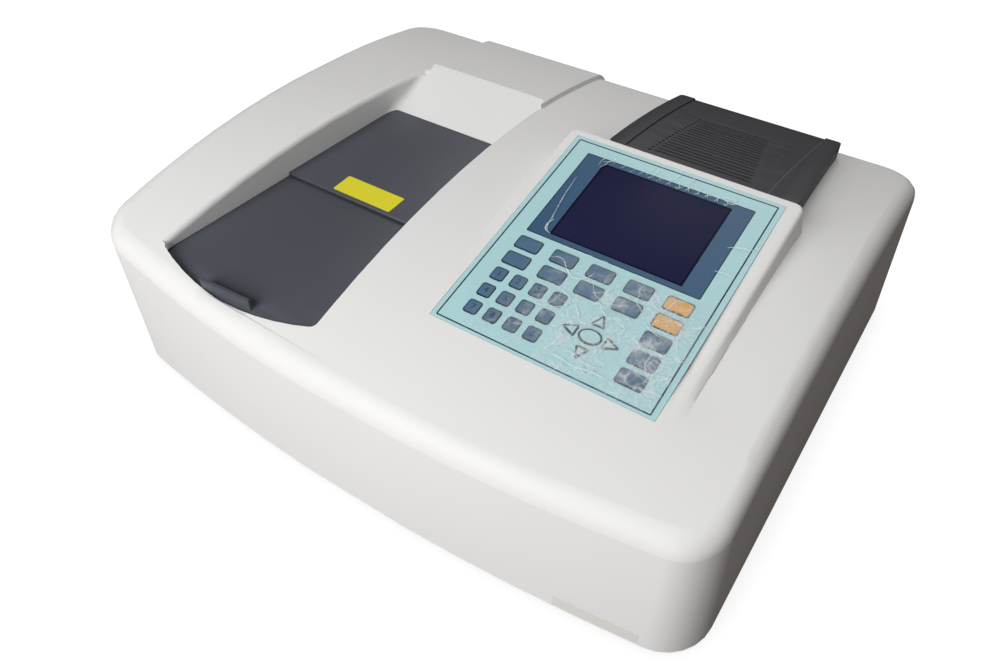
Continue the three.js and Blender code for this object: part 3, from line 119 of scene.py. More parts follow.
class Wire:
    """One output of a node. Sums, products and comparisons of wires add Math nodes."""

    def __init__(self, paint, socket):
        self.paint = paint
        self.socket = socket

    def math(self, operation, *values):
        return self.paint.node("ShaderNodeMath", {"operation": operation}, dict(enumerate(values)))

    def __add__(self, other):
        return self.math("ADD", self, other)

    def __radd__(self, other):
        return self.math("ADD", other, self)

    def __sub__(self, other):
        return self.math("SUBTRACT", self, other)

    def __rsub__(self, other):
        return self.math("SUBTRACT", other, self)

    def __mul__(self, other):
        return self.math("MULTIPLY", self, other)

    def __rmul__(self, other):
        return self.math("MULTIPLY", other, self)

    def __truediv__(self, other):
        return self.math("DIVIDE", self, other)

    def __rtruediv__(self, other):
        return self.math("DIVIDE", other, self)

    def __abs__(self):
        return self.math("ABSOLUTE", self)

    def __pow__(self, other):
        return self.math("POWER", self, other)

    def __lt__(self, other):
        return self.math("LESS_THAN", self, other)

    def __gt__(self, other):
        return self.math("GREATER_THAN", self, other)

    def at_least(self, other):
        return self.math("MAXIMUM", self, other)

    def at_most(self, other):
        return self.math("MINIMUM", self, other)

    def fraction(self):
        return self.math("FRACT", self)

    def whole(self):
        return self.math("FLOOR", self)

    def between(self, low, high):
        """0 below low, 1 above high, and a straight line between."""
        sockets = {0: self, 1: low, 2: high, 3: 0.0, 4: 1.0}
        return self.paint.node("ShaderNodeMapRange", {"clamp": True}, sockets)


class Paint:
    """A material under construction, with its Object coordinates ready to use."""

    def __init__(self, name):
        self.material = bpy.data.materials.new(name)
        self.material.use_nodes = True
        self.tree = self.material.node_tree
        self.tree.nodes.clear()
        self.output = self.tree.nodes.new("ShaderNodeOutputMaterial")
        self.place = self.node("ShaderNodeTexCoord", output="Object")

    def set(self, socket, value):
        if isinstance(value, Wire):
            self.tree.links.new(value.socket, socket)
        else:
            socket.default_value = value

    def node(self, kind, settings=None, sockets=None, output=0):
        made = self.tree.nodes.new(kind)
        for key, value in (settings or {}).items():
            setattr(made, key, value)
        for key, value in (sockets or {}).items():
            self.set(made.inputs[key], value)
        return Wire(self, made.outputs[output])

    def noise(self, scale, detail=2.0, place=None, distortion=0.0, roughness=0.5):
        sockets = {"Vector": place or self.place, "Scale": scale, "Detail": detail,
                   "Roughness": roughness, "Distortion": distortion}
        return self.node("ShaderNodeTexNoise", {}, sockets)

    def cells(self, scale, place=None, feature="F1", output="Distance"):
        sockets = {"Vector": place or self.place, "Scale": scale}
        return self.node("ShaderNodeTexVoronoi", {"feature": feature}, sockets, output)

    def stretched(self, scales):
        return self.node("ShaderNodeMapping", {}, {"Vector": self.place, "Scale": scales})

    def axes(self):
        return [self.node("ShaderNodeSeparateXYZ", {}, {0: self.place}, index) for index in range(3)]

    def mix(self, share, first, second):
        return self.node("ShaderNodeMix", {"data_type": "RGBA"}, {0: share, 6: first, 7: second}, 2)

    def shades(self, colour, spread, share):
        """The colour, darker by spread where share is 0 and lighter by it where share is 1."""
        dark = tuple(channel * (1 - spread) for channel in colour[:3]) + (1.0,)
        light = tuple(min(1.0, channel * (1 + spread)) for channel in colour[:3]) + (1.0,)
        return self.mix(share, dark, light)

    def shader(self, colour, roughness, metallic=0.0, height=None, relief=0.0, **fixed):
        sockets = {"Base Color": colour, "Roughness": roughness, "Metallic": metallic}
        if height is not None:
            sockets["Normal"] = self.node("ShaderNodeBump", {}, {"Distance": relief, "Height": height})
        for label, value in fixed.items():
            sockets[label.replace("_", " ")] = value
        return self.node("ShaderNodeBsdfPrincipled", {}, sockets)

    def finish(self, shader):
        self.tree.links.new(shader.socket, self.output.inputs["Surface"])
        return self.material


print("shader classes ready")

# %% [markdown]
# ## Moulded plastic
# Nearly all that shows is injection-moulded plastic. Its skin has a fine spark-eroded grain, slow
# changes of tone where the melt flowed, and faint rub marks that change the gloss but not the colour.
# The grain could be modelled, but at a third of a millimetre it belongs in the bump.

# %% Moulded plastic
def moulded(name, colour, roughness, grain=0.0007, relief=0.00002, tone=0.015, rub=0.06, shine=0.5):
    """Grain is the size of the skin's pattern, tone its change of colour, and rub its change of gloss."""
    paint = Paint(name)
    skin = paint.noise(1 / grain, 3.0)
    flow = paint.noise(7.0, 3.0, distortion=0.4)
    rubbed = paint.noise(60.0, 4.0, paint.stretched((1.0, 0.25, 1.0)), 1.2)
    shade = paint.shades(colour, tone, flow * 0.7 + skin * 0.3)
    gloss = roughness + (rubbed - 0.5) * rub * 2 + (skin - 0.5) * 0.04
    return paint.finish(paint.shader(shade, gloss, height=skin, relief=relief, Specular_IOR_Level=shine))


COVER_WHITE = srgb(229, 229, 228)
SLATE = srgb(74, 77, 86)
cover_plastic = moulded("cover_plastic", COVER_WHITE, 0.48, 0.0009, 0.000018, 0.012, shine=0.25)
slate_plastic = moulded("slate_plastic", SLATE, 0.46, 0.0006, 0.00003, 0.04, 0.08)
black_plastic = moulded("black_plastic", srgb(34, 35, 38), 0.55, 0.0005, 0.00003, 0.08)
black_gloss = moulded("black_gloss", srgb(24, 24, 27), 0.25, 0.0012, 0.000008, 0.05)
label_yellow = moulded("label_yellow", srgb(231, 222, 46), 0.35, 0.002, 0.000006, 0.02)
print("plastics:", [m.name for m in bpy.data.materials if "plastic" in m.name])

# %% [markdown]
# The lamp cover is the same kind of plastic, with two things more. A row of 17 small pits, counted in the
# photograph, runs beside its louvres, each painted near-black as the shade inside it. A thin painted
# highlight follows the top of its right rail, as the light that its crease catches.

# %% Lamp cover plastic
DOTS_FROM, DOTS_TO, DOT_COUNT, DOT_RADIUS = (88.0, 92.0), (100.0, 182.0), 17, 1.35
RAIL_HIGHLIGHT_FROM, RAIL_HIGHLIGHT_LEAN, RAIL_HIGHLIGHT_EDGES = (204.8, 95.9), 0.044, (0.15, 0.5)


def dotted_plastic():
    """The black lamp cover: coarse grain, a row of small round pits painted dark as shade, and a painted
    highlight along its right rail.
    """
    paint = Paint("vent_plastic")
    x, y, _ = paint.axes()
    skin = paint.noise(1250.0, 3.0)
    flow = paint.noise(9.0, 3.0, distortion=0.4)
    step = (DOTS_TO[1] - DOTS_FROM[1]) / (DOT_COUNT - 1)
    count = (y / MM - DOTS_FROM[1]) / step
    nearest = (count + 0.5).whole().at_least(0.0).at_most(DOT_COUNT - 1.0)
    beside = x / MM - (nearest * ((DOTS_TO[0] - DOTS_FROM[0]) / (DOT_COUNT - 1)) + DOTS_FROM[0])
    behind = (count - nearest) * step
    pit = 1.0 - (beside * beside + behind * behind).between((DOT_RADIUS * 0.7) ** 2, (DOT_RADIUS * 1.2) ** 2)
    shade = paint.shades(srgb(58, 58, 64), 0.06, flow * 0.6 + skin * 0.4)
    # Each pit is painted near-black: painted shade inside the pit.
    shade = paint.mix(pit, shade, srgb(10, 10, 12))
    # A painted highlight: a light line along the crease at the top of the right rail.
    rail_highlight = 1.0 - abs(x / MM - (y / MM - RAIL_HIGHLIGHT_FROM[1]) * RAIL_HIGHLIGHT_LEAN - RAIL_HIGHLIGHT_FROM[0]).between(*RAIL_HIGHLIGHT_EDGES)
    shade = paint.mix(rail_highlight * 0.45, shade, srgb(126, 126, 128))
    return paint.finish(paint.shader(shade, 0.5 + (skin - 0.5) * 0.1 + pit * 0.2, height=skin - pit * 12.0,
                                     relief=0.00005, Specular_IOR_Level=0.25))


vent_plastic = dotted_plastic()
print("lamp cover plastic ready")

# %% [markdown]
# ## Metals, glass, board and rubber
# The pan is zinc-plated sheet with large soft spangles, the cases are cast or folded metal with a
# rolling direction, and the optics are glass. Each needs one pattern at its real size: spangles of
# 6 mm, brush lines a few tenths of a millimetre wide, casting grain of 1 mm.

# %% Metals
def rolled_sheet(name, colour, roughness, spangle=0.0):
    paint = Paint(name)
    lines = paint.noise(900.0, 3.0, paint.stretched((0.02, 1.0, 1.0)))
    patches = paint.cells(160.0, output="Color")
    grey = paint.node("ShaderNodeRGBToBW", {}, {0: patches})
    shade = paint.shades(colour, 0.05 + spangle, lines * 0.5 + grey * 0.5)
    gloss = roughness + (lines - 0.5) * 0.2 + (grey - 0.5) * spangle
    return paint.finish(paint.shader(shade, gloss, 1.0, lines, 0.000012))


def cast_metal(name, colour, roughness):
    paint = Paint(name)
    grain = paint.noise(900.0, 4.0)
    pits = paint.cells(500.0)
    shade = paint.shades(colour, 0.08, grain)
    gloss = roughness + (grain - 0.5) * 0.15
    return paint.finish(paint.shader(shade, gloss, 1.0, grain + pits * 0.5, 0.00006))


pan_steel = rolled_sheet("pan_steel", srgb(176, 179, 182), 0.38, 0.12)
steel_sheet = rolled_sheet("steel_sheet", srgb(186, 189, 192), 0.32)
shell_metal = rolled_sheet("shell_metal", srgb(196, 198, 200), 0.25)
cast_aluminium = cast_metal("cast_aluminium", srgb(150, 153, 157), 0.5)
turret_aluminium = cast_metal("turret_aluminium", srgb(178, 186, 192), 0.3)
black_anodised = cast_metal("black_anodised", srgb(52, 54, 58), 0.42)
screw_steel = rolled_sheet("screw_steel", srgb(150, 152, 155), 0.3)
pin_gold = cast_metal("pin_gold", srgb(214, 178, 104), 0.3)
print("metals ready")

# %% [markdown]
# The glass of both lamps is clear above its ceramic or metal foot. The boards are too small in any view
# for real tracks, so a pattern of lines and pads at the usual pitch stands for them.

# %% Glass, mirror, rubber and board
TRACK_PITCH, TRACK_REACH, PAD_REACH = 0.0025, 0.14, 0.14
HALOGEN_FOOT_TOP, DEUTERIUM_FOOT_TOP = 0.0635, 0.021


def clear_glass(name, tint, base_top=None, base_colour=None):
    """Glass with a faint wave, and below base_top, if it is given, a ceramic or metal foot."""
    paint = Paint(name)
    wave = paint.noise(45.0, 2.0)
    glass = paint.shader(paint.shades(tint, 0.02, wave), 0.04 + wave * 0.03, height=wave, relief=0.00005,
                         Transmission_Weight=0.92, IOR=1.46)
    if base_top is None:
        return paint.finish(glass)
    speck = paint.noise(1300.0, 2.0)
    shade = paint.shades(base_colour, 0.06, speck)
    foot = paint.shader(shade, 0.45 + speck * 0.1, height=speck, relief=0.00003)
    above = paint.axes()[2] > base_top
    return paint.finish(paint.node("ShaderNodeMixShader", {}, {0: above, 1: foot, 2: glass}))


def mirror_coat():
    paint = Paint("mirror_coat")
    haze = paint.noise(90.0, 4.0)
    return paint.finish(paint.shader(paint.shades(srgb(222, 226, 230), 0.03, haze), 0.03 + haze * 0.06, 1.0))


def foot_rubber():
    paint = Paint("foot_rubber")
    grain = paint.noise(1500.0, 3.0)
    dust = paint.noise(120.0, 4.0)
    shade = paint.shades(srgb(38, 38, 40), 0.25, dust)
    return paint.finish(paint.shader(shade, 0.75 + (dust - 0.5) * 0.2, height=grain, relief=0.00005))


def solder_board():
    """Green solder mask over copper tracks that run in two directions, with bare gold pads."""
    paint = Paint("board_green")
    x, y, _ = paint.axes()
    blocks = paint.cells(70.0, output="Color")
    pick = paint.node("ShaderNodeRGBToBW", {}, {0: blocks})
    along_x = abs((y / TRACK_PITCH).fraction() - 0.5) < TRACK_REACH
    along_y = abs((x / TRACK_PITCH).fraction() - 0.5) < TRACK_REACH
    lower = pick < 0.45
    upper = pick > 0.55
    track = along_x * lower + along_y * upper
    pads = paint.cells(260.0) < PAD_REACH
    green = paint.mix(track, srgb(24, 84, 50), srgb(48, 120, 72))
    shade = paint.mix(pads, green, srgb(196, 172, 96))
    return paint.finish(paint.shader(shade, 0.35 - track * 0.08, pads * 0.9, track + pads, 0.00004))


mirror_metal = mirror_coat()
rubber = foot_rubber()
board_green = solder_board()
cell_glass = clear_glass("cell_glass", srgb(236, 243, 246))
halogen_glass = clear_glass("halogen_glass", srgb(244, 246, 246), HALOGEN_FOOT_TOP, srgb(214, 208, 196))
deuterium_glass = clear_glass("deuterium_glass", srgb(238, 242, 248), DEUTERIUM_FOOT_TOP, srgb(120, 124, 128))
print("glass, mirror, rubber and board ready")

# %% [markdown]
# ## The printed overlay
# The control panel is one polyester sheet, printed from behind in pale aqua, with a thin navy frame line
# and a slate blue field round the display. Printing has no height, so it is colour alone, laid out in the
# sheet's own millimetres: across from its left edge, and up its slope.

# %% The panel's own frame
PANEL_TILT = math.radians(9.6)
PANEL_THICKNESS = 0.0012
panel_low, panel_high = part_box("keypad_overlay")
PANEL_CORNER = Vector((panel_low.x, panel_low.y, panel_low.z + PANEL_THICKNESS * math.cos(PANEL_TILT)))
PANEL = Matrix.Translation(PANEL_CORNER) @ Matrix.Rotation(PANEL_TILT, 4, "X")
print("panel corner at", tuple(round(value, 4) for value in PANEL_CORNER))

# %% Printing
# The frame line and the blue field are given by their left, low, right and high limits in millimetres.
AQUA = srgb(178, 217, 221)
NAVY = srgb(28, 44, 60)
FIELD_BLUE = srgb(56, 90, 122)
FRAME = (4.7, 3.2, 194.9, 231.6)
FRAME_LINE, FRAME_CORNER = 0.65, 0.6
FIELD = (20.7, 113.5, 180.1, 219.0)
FIELD_LINE, FIELD_CORNER = 0.5, 0.8


def panel_axes(paint):
    """Millimetres across the panel and up its slope."""
    x, y, _ = paint.axes()
    return (x - PANEL_CORNER.x) / MM, (y - PANEL_CORNER.y) / (MM * math.cos(PANEL_TILT))


def box_distance(across, up, left, low, right, high, corner=0.0):
    """Distance outwards from a rounded rectangle, negative inside it."""
    beside = abs(across - (left + right) / 2) - ((right - left) / 2 - corner)
    above = abs(up - (low + high) / 2) - ((high - low) / 2 - corner)
    outside = (beside.at_least(0.0) ** 2 + above.at_least(0.0) ** 2) ** 0.5
    return outside + beside.at_least(above).at_most(0.0) - corner


def printed_film():
    paint = Paint("overlay_film")
    across, up = panel_axes(paint)
    frame_line = abs(box_distance(across, up, *FRAME, FRAME_CORNER)) < FRAME_LINE
    field = box_distance(across, up, *FIELD, FIELD_CORNER)
    cloud = paint.noise(26.0, 3.0)
    screen = paint.noise(2200.0, 2.0)
    ground = paint.shades(AQUA, 0.025, cloud)
    blue = paint.shades(FIELD_BLUE, 0.05, cloud)
    shade = paint.mix(field < 0.0, ground, blue)
    shade = paint.mix(abs(field) < FIELD_LINE, shade, NAVY)
    shade = paint.mix(frame_line, shade, NAVY)
    gloss = 0.3 + screen * 0.08
    return paint.finish(paint.shader(shade, gloss, height=screen, relief=0.000006, Specular_IOR_Level=0.2))


overlay_film = printed_film()
PRINT = {"grain": 0.0004, "relief": 0.000004, "rub": 0.04, "shine": 0.2}
key_navy = moulded("key_navy", NAVY, 0.35, 0.0004, 0.000004, 0.05)
key_blue = moulded("key_blue", srgb(80, 112, 139), 0.33, tone=0.05, **PRINT)
key_yellow = moulded("key_yellow", srgb(226, 164, 34), 0.33, tone=0.04, **PRINT)
key_pale = moulded("key_pale", srgb(180, 217, 221), 0.33, tone=0.02, **PRINT)
strip_label = moulded("strip_label", srgb(221, 220, 216), 0.4, tone=0.03, **PRINT)
print("overlay printing ready")

# %% [markdown]
# The display is off, so the window shows only its dark violet glass, a grid of dots, and the shadow of
# its own frame along the rim.

# %% Display glass
DOT_PITCH, DOT_GAP = 0.38, 0.12
RIM_SHADOW = (-2.6, -0.4)


def display_glass():
    """A dark, faintly violet liquid-crystal window."""
    paint = Paint("display_glass")
    across, up = panel_axes(paint)
    cloud = paint.noise(14.0, 2.0)
    dots = ((across / DOT_PITCH).fraction() > DOT_GAP) * ((up / DOT_PITCH).fraction() > DOT_GAP)
    base = paint.shades(srgb(38, 38, 70), 0.1, cloud)
    shade = paint.mix(dots, srgb(31, 31, 60), base)
    low, high = ((place - PANEL_CORNER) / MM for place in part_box("display_window"))
    slope = math.cos(PANEL_TILT)
    rim = box_distance(across, up, low.x, low.y / slope, high.x, high.y / slope)
    shade = paint.mix(rim.between(*RIM_SHADOW) * 0.85, shade, srgb(12, 14, 22))
    return paint.finish(paint.shader(shade, 0.3 + cloud * 0.08, Specular_IOR_Level=0.03))


window_glass = display_glass()
print("display glass ready")

# %% [markdown]
# ## From CAD solid to finished piece
# A CAD node is a set of loose triangles with hard edges. Real edges are never sharp: a bevel of a few
# tenths of a millimetre catches the light and is what makes a picture look real. So each node is copied,
# its doubles are merged, its flat faces are joined, its edges are bevelled, and the copy stands for it.

# %% Helpers for editing
def deselect():
    for other in bpy.context.selected_objects:
        other.select_set(False)


def only(piece):
    """Selects this piece alone and makes it the active one."""
    deselect()
    piece.select_set(True)
    bpy.context.view_layer.objects.active = piece


def edit(piece):
    only(piece)
    bpy.ops.object.mode_set(mode="EDIT")


def done():
    bpy.ops.object.mode_set(mode="OBJECT")


def choose(piece, test, kind="faces"):
    """In edit mode, selects the faces or edges that pass a test, and returns how many did."""
    bpy.ops.mesh.select_mode(type="FACE" if kind == "faces" else "EDGE")
    bpy.ops.mesh.select_all(action="DESELECT")
    mesh = bmesh.from_edit_mesh(piece.data)
    chosen = [part for part in getattr(mesh, kind) if test(part)]
    for part in chosen:
        part.select_set(True)
    mesh.select_flush_mode()
    bmesh.update_edit_mesh(piece.data)
    return len(chosen)


def with_modifier(piece, kind, **settings):
    only(piece)
    modifier = piece.modifiers.new(kind.lower(), kind)
    for key, value in settings.items():
        setattr(modifier, key, value)
    bpy.ops.object.modifier_apply(modifier=modifier.name)


def smooth(piece, degrees):
    only(piece)
    bpy.ops.object.shade_smooth_by_angle(angle=math.radians(degrees))


def paint_with(piece, *materials):
    piece.data.materials.clear()
    for material in materials:
        piece.data.materials.append(material)


print("editing helpers ready")

# %% [markdown]
# A copy is cleaned first, then bevelled, smoothed, painted, and set on its node's body.

# %% Copying a node
DOUBLES_REACH = 0.000005
FLAT_ANGLE, BEVEL_ANGLE, SMOOTH_ANGLE = 0.3, 30, 35


def copy_of(node, name):
    """A copy of the node's mesh, with its doubles merged and its flat faces joined."""
    piece = new_object(name, NODES[node].data.copy())
    edit(piece)
    bpy.ops.mesh.select_all(action="SELECT")
    bpy.ops.mesh.remove_doubles(threshold=DOUBLES_REACH)
    bpy.ops.mesh.dissolve_limited(angle_limit=math.radians(FLAT_ANGLE))
    done()
    return piece


def dress(node, name, material, bevel=0.0, slot=None, degrees=SMOOTH_ANGLE):
    """A bevelled, smooth copy that rides on the node's body and is shown in its place."""
    piece = copy_of(node, name)
    if bevel:
        with_modifier(piece, "BEVEL", width=bevel, segments=2, limit_method="ANGLE",
                      angle_limit=math.radians(BEVEL_ANGLE), use_clamp_overlap=True)
    smooth(piece, degrees)
    paint_with(piece, material)
    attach(piece, NODES[node]["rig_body"])
    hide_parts(node)
    return piece


print("dressing helper ready")

# %% [markdown]
# ## The large mouldings
# The top cover, the lid, the fixed deck and the lift-off lamp cover carry the likeness. Their forms come
# from the CAD solids; here they get their smooth shading, fine edges and skins. The long edge between the
# cover's top and the recess's left wall is the softest, and two tests find it and the corner behind it.

# %% Soft edges
EDGE_ROUNDING, CORNER_ROUNDING, ROUNDING_STEPS = 0.005, 0.006, 5
SOFT_LEFT_OF, SOFT_ABOVE = -0.15, 0.14


def soften(piece, test, width, segments):
    """Rounds the edges that pass a test."""
    edit(piece)
    count = choose(piece, test, "edges")
    bpy.ops.mesh.bevel(offset=width, segments=segments, affect="EDGES", clamp_overlap=False)
    done()
    print(piece.name, "edges softened:", count)


def sides(edge):
    """The normals of an edge's two faces, the steeper one first, and if it lies high at the left."""
    low, high = sorted(edge.link_faces, key=lambda face: face.normal.z)
    middle = (edge.verts[0].co + edge.verts[1].co) / 2
    return low.normal, high.normal, middle.x < SOFT_LEFT_OF and middle.z > SOFT_ABOVE


def recess_left_edge(edge):
    """The long crease between the cover's top and the left wall of the sample recess."""
    if len(edge.link_faces) != 2 or not edge.is_convex:
        return False
    low, high, near = sides(edge)
    return near and low.x > 0.9 and high.z > 0.9


def recess_corner(edge):
    """The inner corner between that wall and the slope behind the deck."""
    if len(edge.link_faces) != 2 or edge.is_convex:
        return False
    low, high, near = sides(edge)
    return near and low.x > 0.9 and high.y < -0.3 and high.z > 0.2


print("edge tests ready")

# %% [markdown]
# The CAD top is an arch made of flat strips. Its curve is known, so each corner of the top's faces can
# take the true normal of that curve. The same curve is lowered a little to the right of the panel, where
# the photograph shows a shallow dip beside the bezel.

# %% The crown's own normals
CROWN_TOP, CROWN_Y, CROWN_RADIUS = 0.1824, 0.020, 0.935
CHEEK_RISE, CHEEK_X, CHEEK_Y = 0.016, -0.150, 0.080
HOUSING_SIDE, HOUSING_FRONT = 0.313, -0.263
DIP_FROM = panel_high.x - 0.0002
DIP_DEPTH = 0.003
DIP_ACROSS, DIP_STARTS, DIP_ENDS = (0.2435, 0.288), (-0.165, -0.115), (-0.045, 0.060)
FLAT_ENOUGH, NEAR_CROWN = 0.0006, 0.006


def crown(x, y):
    """The height of the cover's arched top, with the swelling of its left cheek."""
    across = max(0.0, (CHEEK_X - x) / (CHEEK_X + HOUSING_SIDE))
    along = max(0.0, (CHEEK_Y - y) / (CHEEK_Y - HOUSING_FRONT))
    arch = CROWN_TOP - CROWN_RADIUS + math.sqrt(CROWN_RADIUS ** 2 - (y - CROWN_Y) ** 2)
    return arch + CHEEK_RISE * across * along


def ease(value, start, end):
    """0 before start, 1 after end, and a soft curve between."""
    share = min(1.0, max(0.0, (value - start) / (end - start)))
    return share * share * (3 - 2 * share)


def dip(x, y):
    """At the right of the panel the top lies a little lower, so that the bezel's flank shows."""
    if x < DIP_FROM:
        return 0.0
    return DIP_DEPTH * (1 - ease(x, *DIP_ACROSS)) * ease(y, *DIP_STARTS) * (1 - ease(y, *DIP_ENDS))


def cover_top(x, y):
    return crown(x, y) - dip(x, y)


def crown_normal(x, y, reach=0.008):
    across = (cover_top(x + reach, y) - cover_top(x - reach, y)) / (2 * reach)
    along = (cover_top(x, y + reach) - cover_top(x, y - reach)) / (2 * reach)
    return Vector((-across, -along, 1.0)).normalized()


def follow_crown(piece):
    """The corners of the top's flat strips take the normals of the curve, so that no strip shows."""
    mesh = piece.data
    normals = [corner.vector.copy() for corner in mesh.corner_normals]
    changed = 0
    for face in mesh.polygons:
        places = [mesh.vertices[index].co for index in face.vertices]
        heights = [place.z - cover_top(place.x, place.y) for place in places]
        even = max(heights) - min(heights) < FLAT_ENOUGH
        if even and face.normal.z > 0.95 and abs(heights[0]) < NEAR_CROWN:
            changed += 1
            for corner, place in zip(face.loop_indices, places):
                normals[corner] = crown_normal(place.x, place.y)
    mesh.normals_split_custom_set(normals)
    print(piece.name, "faces on the crown:", changed)


print("crown at the middle:", round(crown(0.0, CROWN_Y), 4))

# %% The dip beside the panel
DIP_COLUMNS = (0.2435, 0.250, 0.258, 0.267, 0.277, 0.287)
DIP_FRONT, DIP_STEP, DIP_ROWS = -0.1601, 0.0127, 18
DIP_SPAN, FACE_REACH, POINT_REACH = (-0.17, 0.08), 0.0015, 0.0008


def beside_panel(face):
    middle = face.calc_center_median()
    inside = middle.x > DIP_FROM and DIP_SPAN[0] < middle.y < DIP_SPAN[1]
    return inside and face.normal.z > 0.9 and abs(middle.z - crown(middle.x, middle.y)) < FACE_REACH


def lower_beside_panel(piece):
    """Cuts the flat strips beside the panel into a grid, and lowers its corners onto the dipped curve."""
    edit(piece)
    for place in DIP_COLUMNS:
        choose(piece, beside_panel)
        bpy.ops.mesh.bisect(plane_co=(place, 0, 0), plane_no=(1, 0, 0))
    for step in range(DIP_ROWS):
        choose(piece, beside_panel)
        bpy.ops.mesh.bisect(plane_co=(0, DIP_FRONT + step * DIP_STEP, 0), plane_no=(0, 1, 0))
    done()
    for vertex in piece.data.vertices:
        place = vertex.co
        if abs(place.z - crown(place.x, place.y)) < POINT_REACH and place.x > DIP_FROM:
            place.z = place.z - dip(place.x, place.y)
    piece.data.update()


print("dip rows:", DIP_ROWS)

# %% The top cover
COVER_SMOOTHING, FACE_WEIGHT = 24, 60

cover = dress("top_cover", "top_cover_moulding", cover_plastic, 0.0, "cover_plastic", COVER_SMOOTHING)
lower_beside_panel(cover)
soften(cover, recess_left_edge, EDGE_ROUNDING, ROUNDING_STEPS)
soften(cover, recess_corner, CORNER_ROUNDING, ROUNDING_STEPS)
smooth(cover, COVER_SMOOTHING)
with_modifier(cover, "WEIGHTED_NORMAL", keep_sharp=True, weight=FACE_WEIGHT)
follow_crown(cover)

# %% [markdown]
# The bezel's right side leans outwards and ends in a wide foot. It is a separate strip, lofted through
# sections from the front of the wedge to its rear corner and round it, where it sinks into the CAD flank.

# %% Lofting
def loft(name, rings, material, body):
    """A closed solid through a row of rings that have the same number of points."""
    mesh = bmesh.new()
    rows = [[mesh.verts.new(place) for place in ring] for ring in rings]
    for one, two in zip(rows, rows[1:]):
        for index in range(len(one)):
            after = (index + 1) % len(one)
            mesh.faces.new((one[index], one[after], two[after], two[index]))
    mesh.faces.new(rows[0])
    mesh.faces.new(list(reversed(rows[-1])))
    bmesh.ops.recalc_face_normals(mesh, faces=mesh.faces)
    data = bpy.data.meshes.new(name)
    mesh.to_mesh(data)
    mesh.free()
    piece = new_object(name, data)
    smooth(piece, 50)
    paint_with(piece, material)
    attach(piece, body)
    return piece


print("loft ready")

# %% The bezel's flank
REAR_CORNER = Vector((0.2315, 0.0676, 0.0))
FLANK_FRONT, FLANK_STEPS, TURN_STEPS = -0.1645, 66, 8
INNER_REACH, FOOT_REACH = 0.001, 0.0113
MARGIN_RISE, HIDDEN = 0.00026, 0.0002
CAD_REACH = (INNER_REACH, 0.0041, 0.0056, 0.0071, 0.0082, 0.0084, 0.0084)


def flank_ring(y, turn=0.0):
    """One section of the bezel's right margin and flank; a turn takes it round the rear corner."""
    centre = Vector((REAR_CORNER.x, y, 0.0))
    out = Vector((math.cos(turn), math.sin(turn), 0.0))
    share = math.cos(turn) ** 2

    def level(reach):
        place = centre + out * reach
        slope = (place.y - PANEL_CORNER.y) * math.tan(PANEL_TILT)
        return PANEL_CORNER.z + slope + MARGIN_RISE * share - HIDDEN

    foot = centre + out * FOOT_REACH
    drop = max(0.0004, level(FOOT_REACH) - cover_top(foot.x, foot.y))
    high = ease(drop, 0.004, 0.016)
    steps = [(INNER_REACH, 0.0), (0.0041, 0.0),
             (0.0056 + 0.0002 * high, min(0.00005, 0.05 * drop)),
             (0.0069 + 0.0004 * high, min(0.0005, 0.2 * drop)),
             (0.0082 + 0.0003 * high, min(0.0016, 0.42 * drop)),
             (0.0088 + 0.0003 * high, min(0.0032, 0.55 * drop)), (FOOT_REACH, drop)]
    ring = []
    for (reach, sink), under in zip(steps, CAD_REACH):
        reach = under - HIDDEN + (reach - under + HIDDEN) * share
        ring.append(centre + out * reach + Vector((0, 0, level(reach) - sink)))
    low = level(FOOT_REACH) - drop - 0.0015
    last = ring[-1] + out * 0.0006
    ring.append(Vector((last.x, last.y, low)))
    ring.append(centre + out * INNER_REACH + Vector((0, 0, low)))
    return ring


flank_rings = [flank_ring(FLANK_FRONT + (REAR_CORNER.y - FLANK_FRONT) * step / FLANK_STEPS)
               for step in range(FLANK_STEPS + 1)]
flank_rings += [flank_ring(REAR_CORNER.y, math.radians(90 / TURN_STEPS * step))
                for step in range(1, TURN_STEPS + 1)]
loft("bezel_flank", flank_rings, cover_plastic, "housing")
print("flank sections:", len(flank_rings))

# %% Lid, deck and lamp cover
lid = dress("sample_lid", "sample_lid_moulding", slate_plastic, 0.0005, "slate_plastic")
deck = dress("rear_deck", "rear_deck_moulding", slate_plastic, 0.0007, "slate_plastic")
lamp_cover = dress("lamp_cover", "lamp_cover_moulding", vent_plastic, 0.0004, "vent_plastic")
print("large mouldings:", [len(p.data.polygons) for p in (cover, lid, deck, lamp_cover)])

# %% [markdown]
# ## Panel, window and keys
# The keys are pads of the same printed sheet, pressed from below. Each has a navy outline and a coloured
# field, slightly domed by embossing. The outline is made by insetting the top face, so it keeps an even
# width round the number keys, the arrows and the oval key alike.

# %% Panel and window
overlay = dress("keypad_overlay", "keypad_overlay_print", overlay_film, 0.0, "overlay_film")
window = dress("display_window", "display_window_glass", window_glass, 0.0002, "display_glass")
print("panel and window faces:", len(overlay.data.polygons), len(window.data.polygons))

# %% Keys
KEY_OUTLINE = 0.0009
KEY_DOME = 0.00012
DOME_INSET = 0.0005
PALE_OUTLINE = 1.6
PANEL_NORMAL = Vector((0.0, -math.sin(PANEL_TILT), math.cos(PANEL_TILT)))


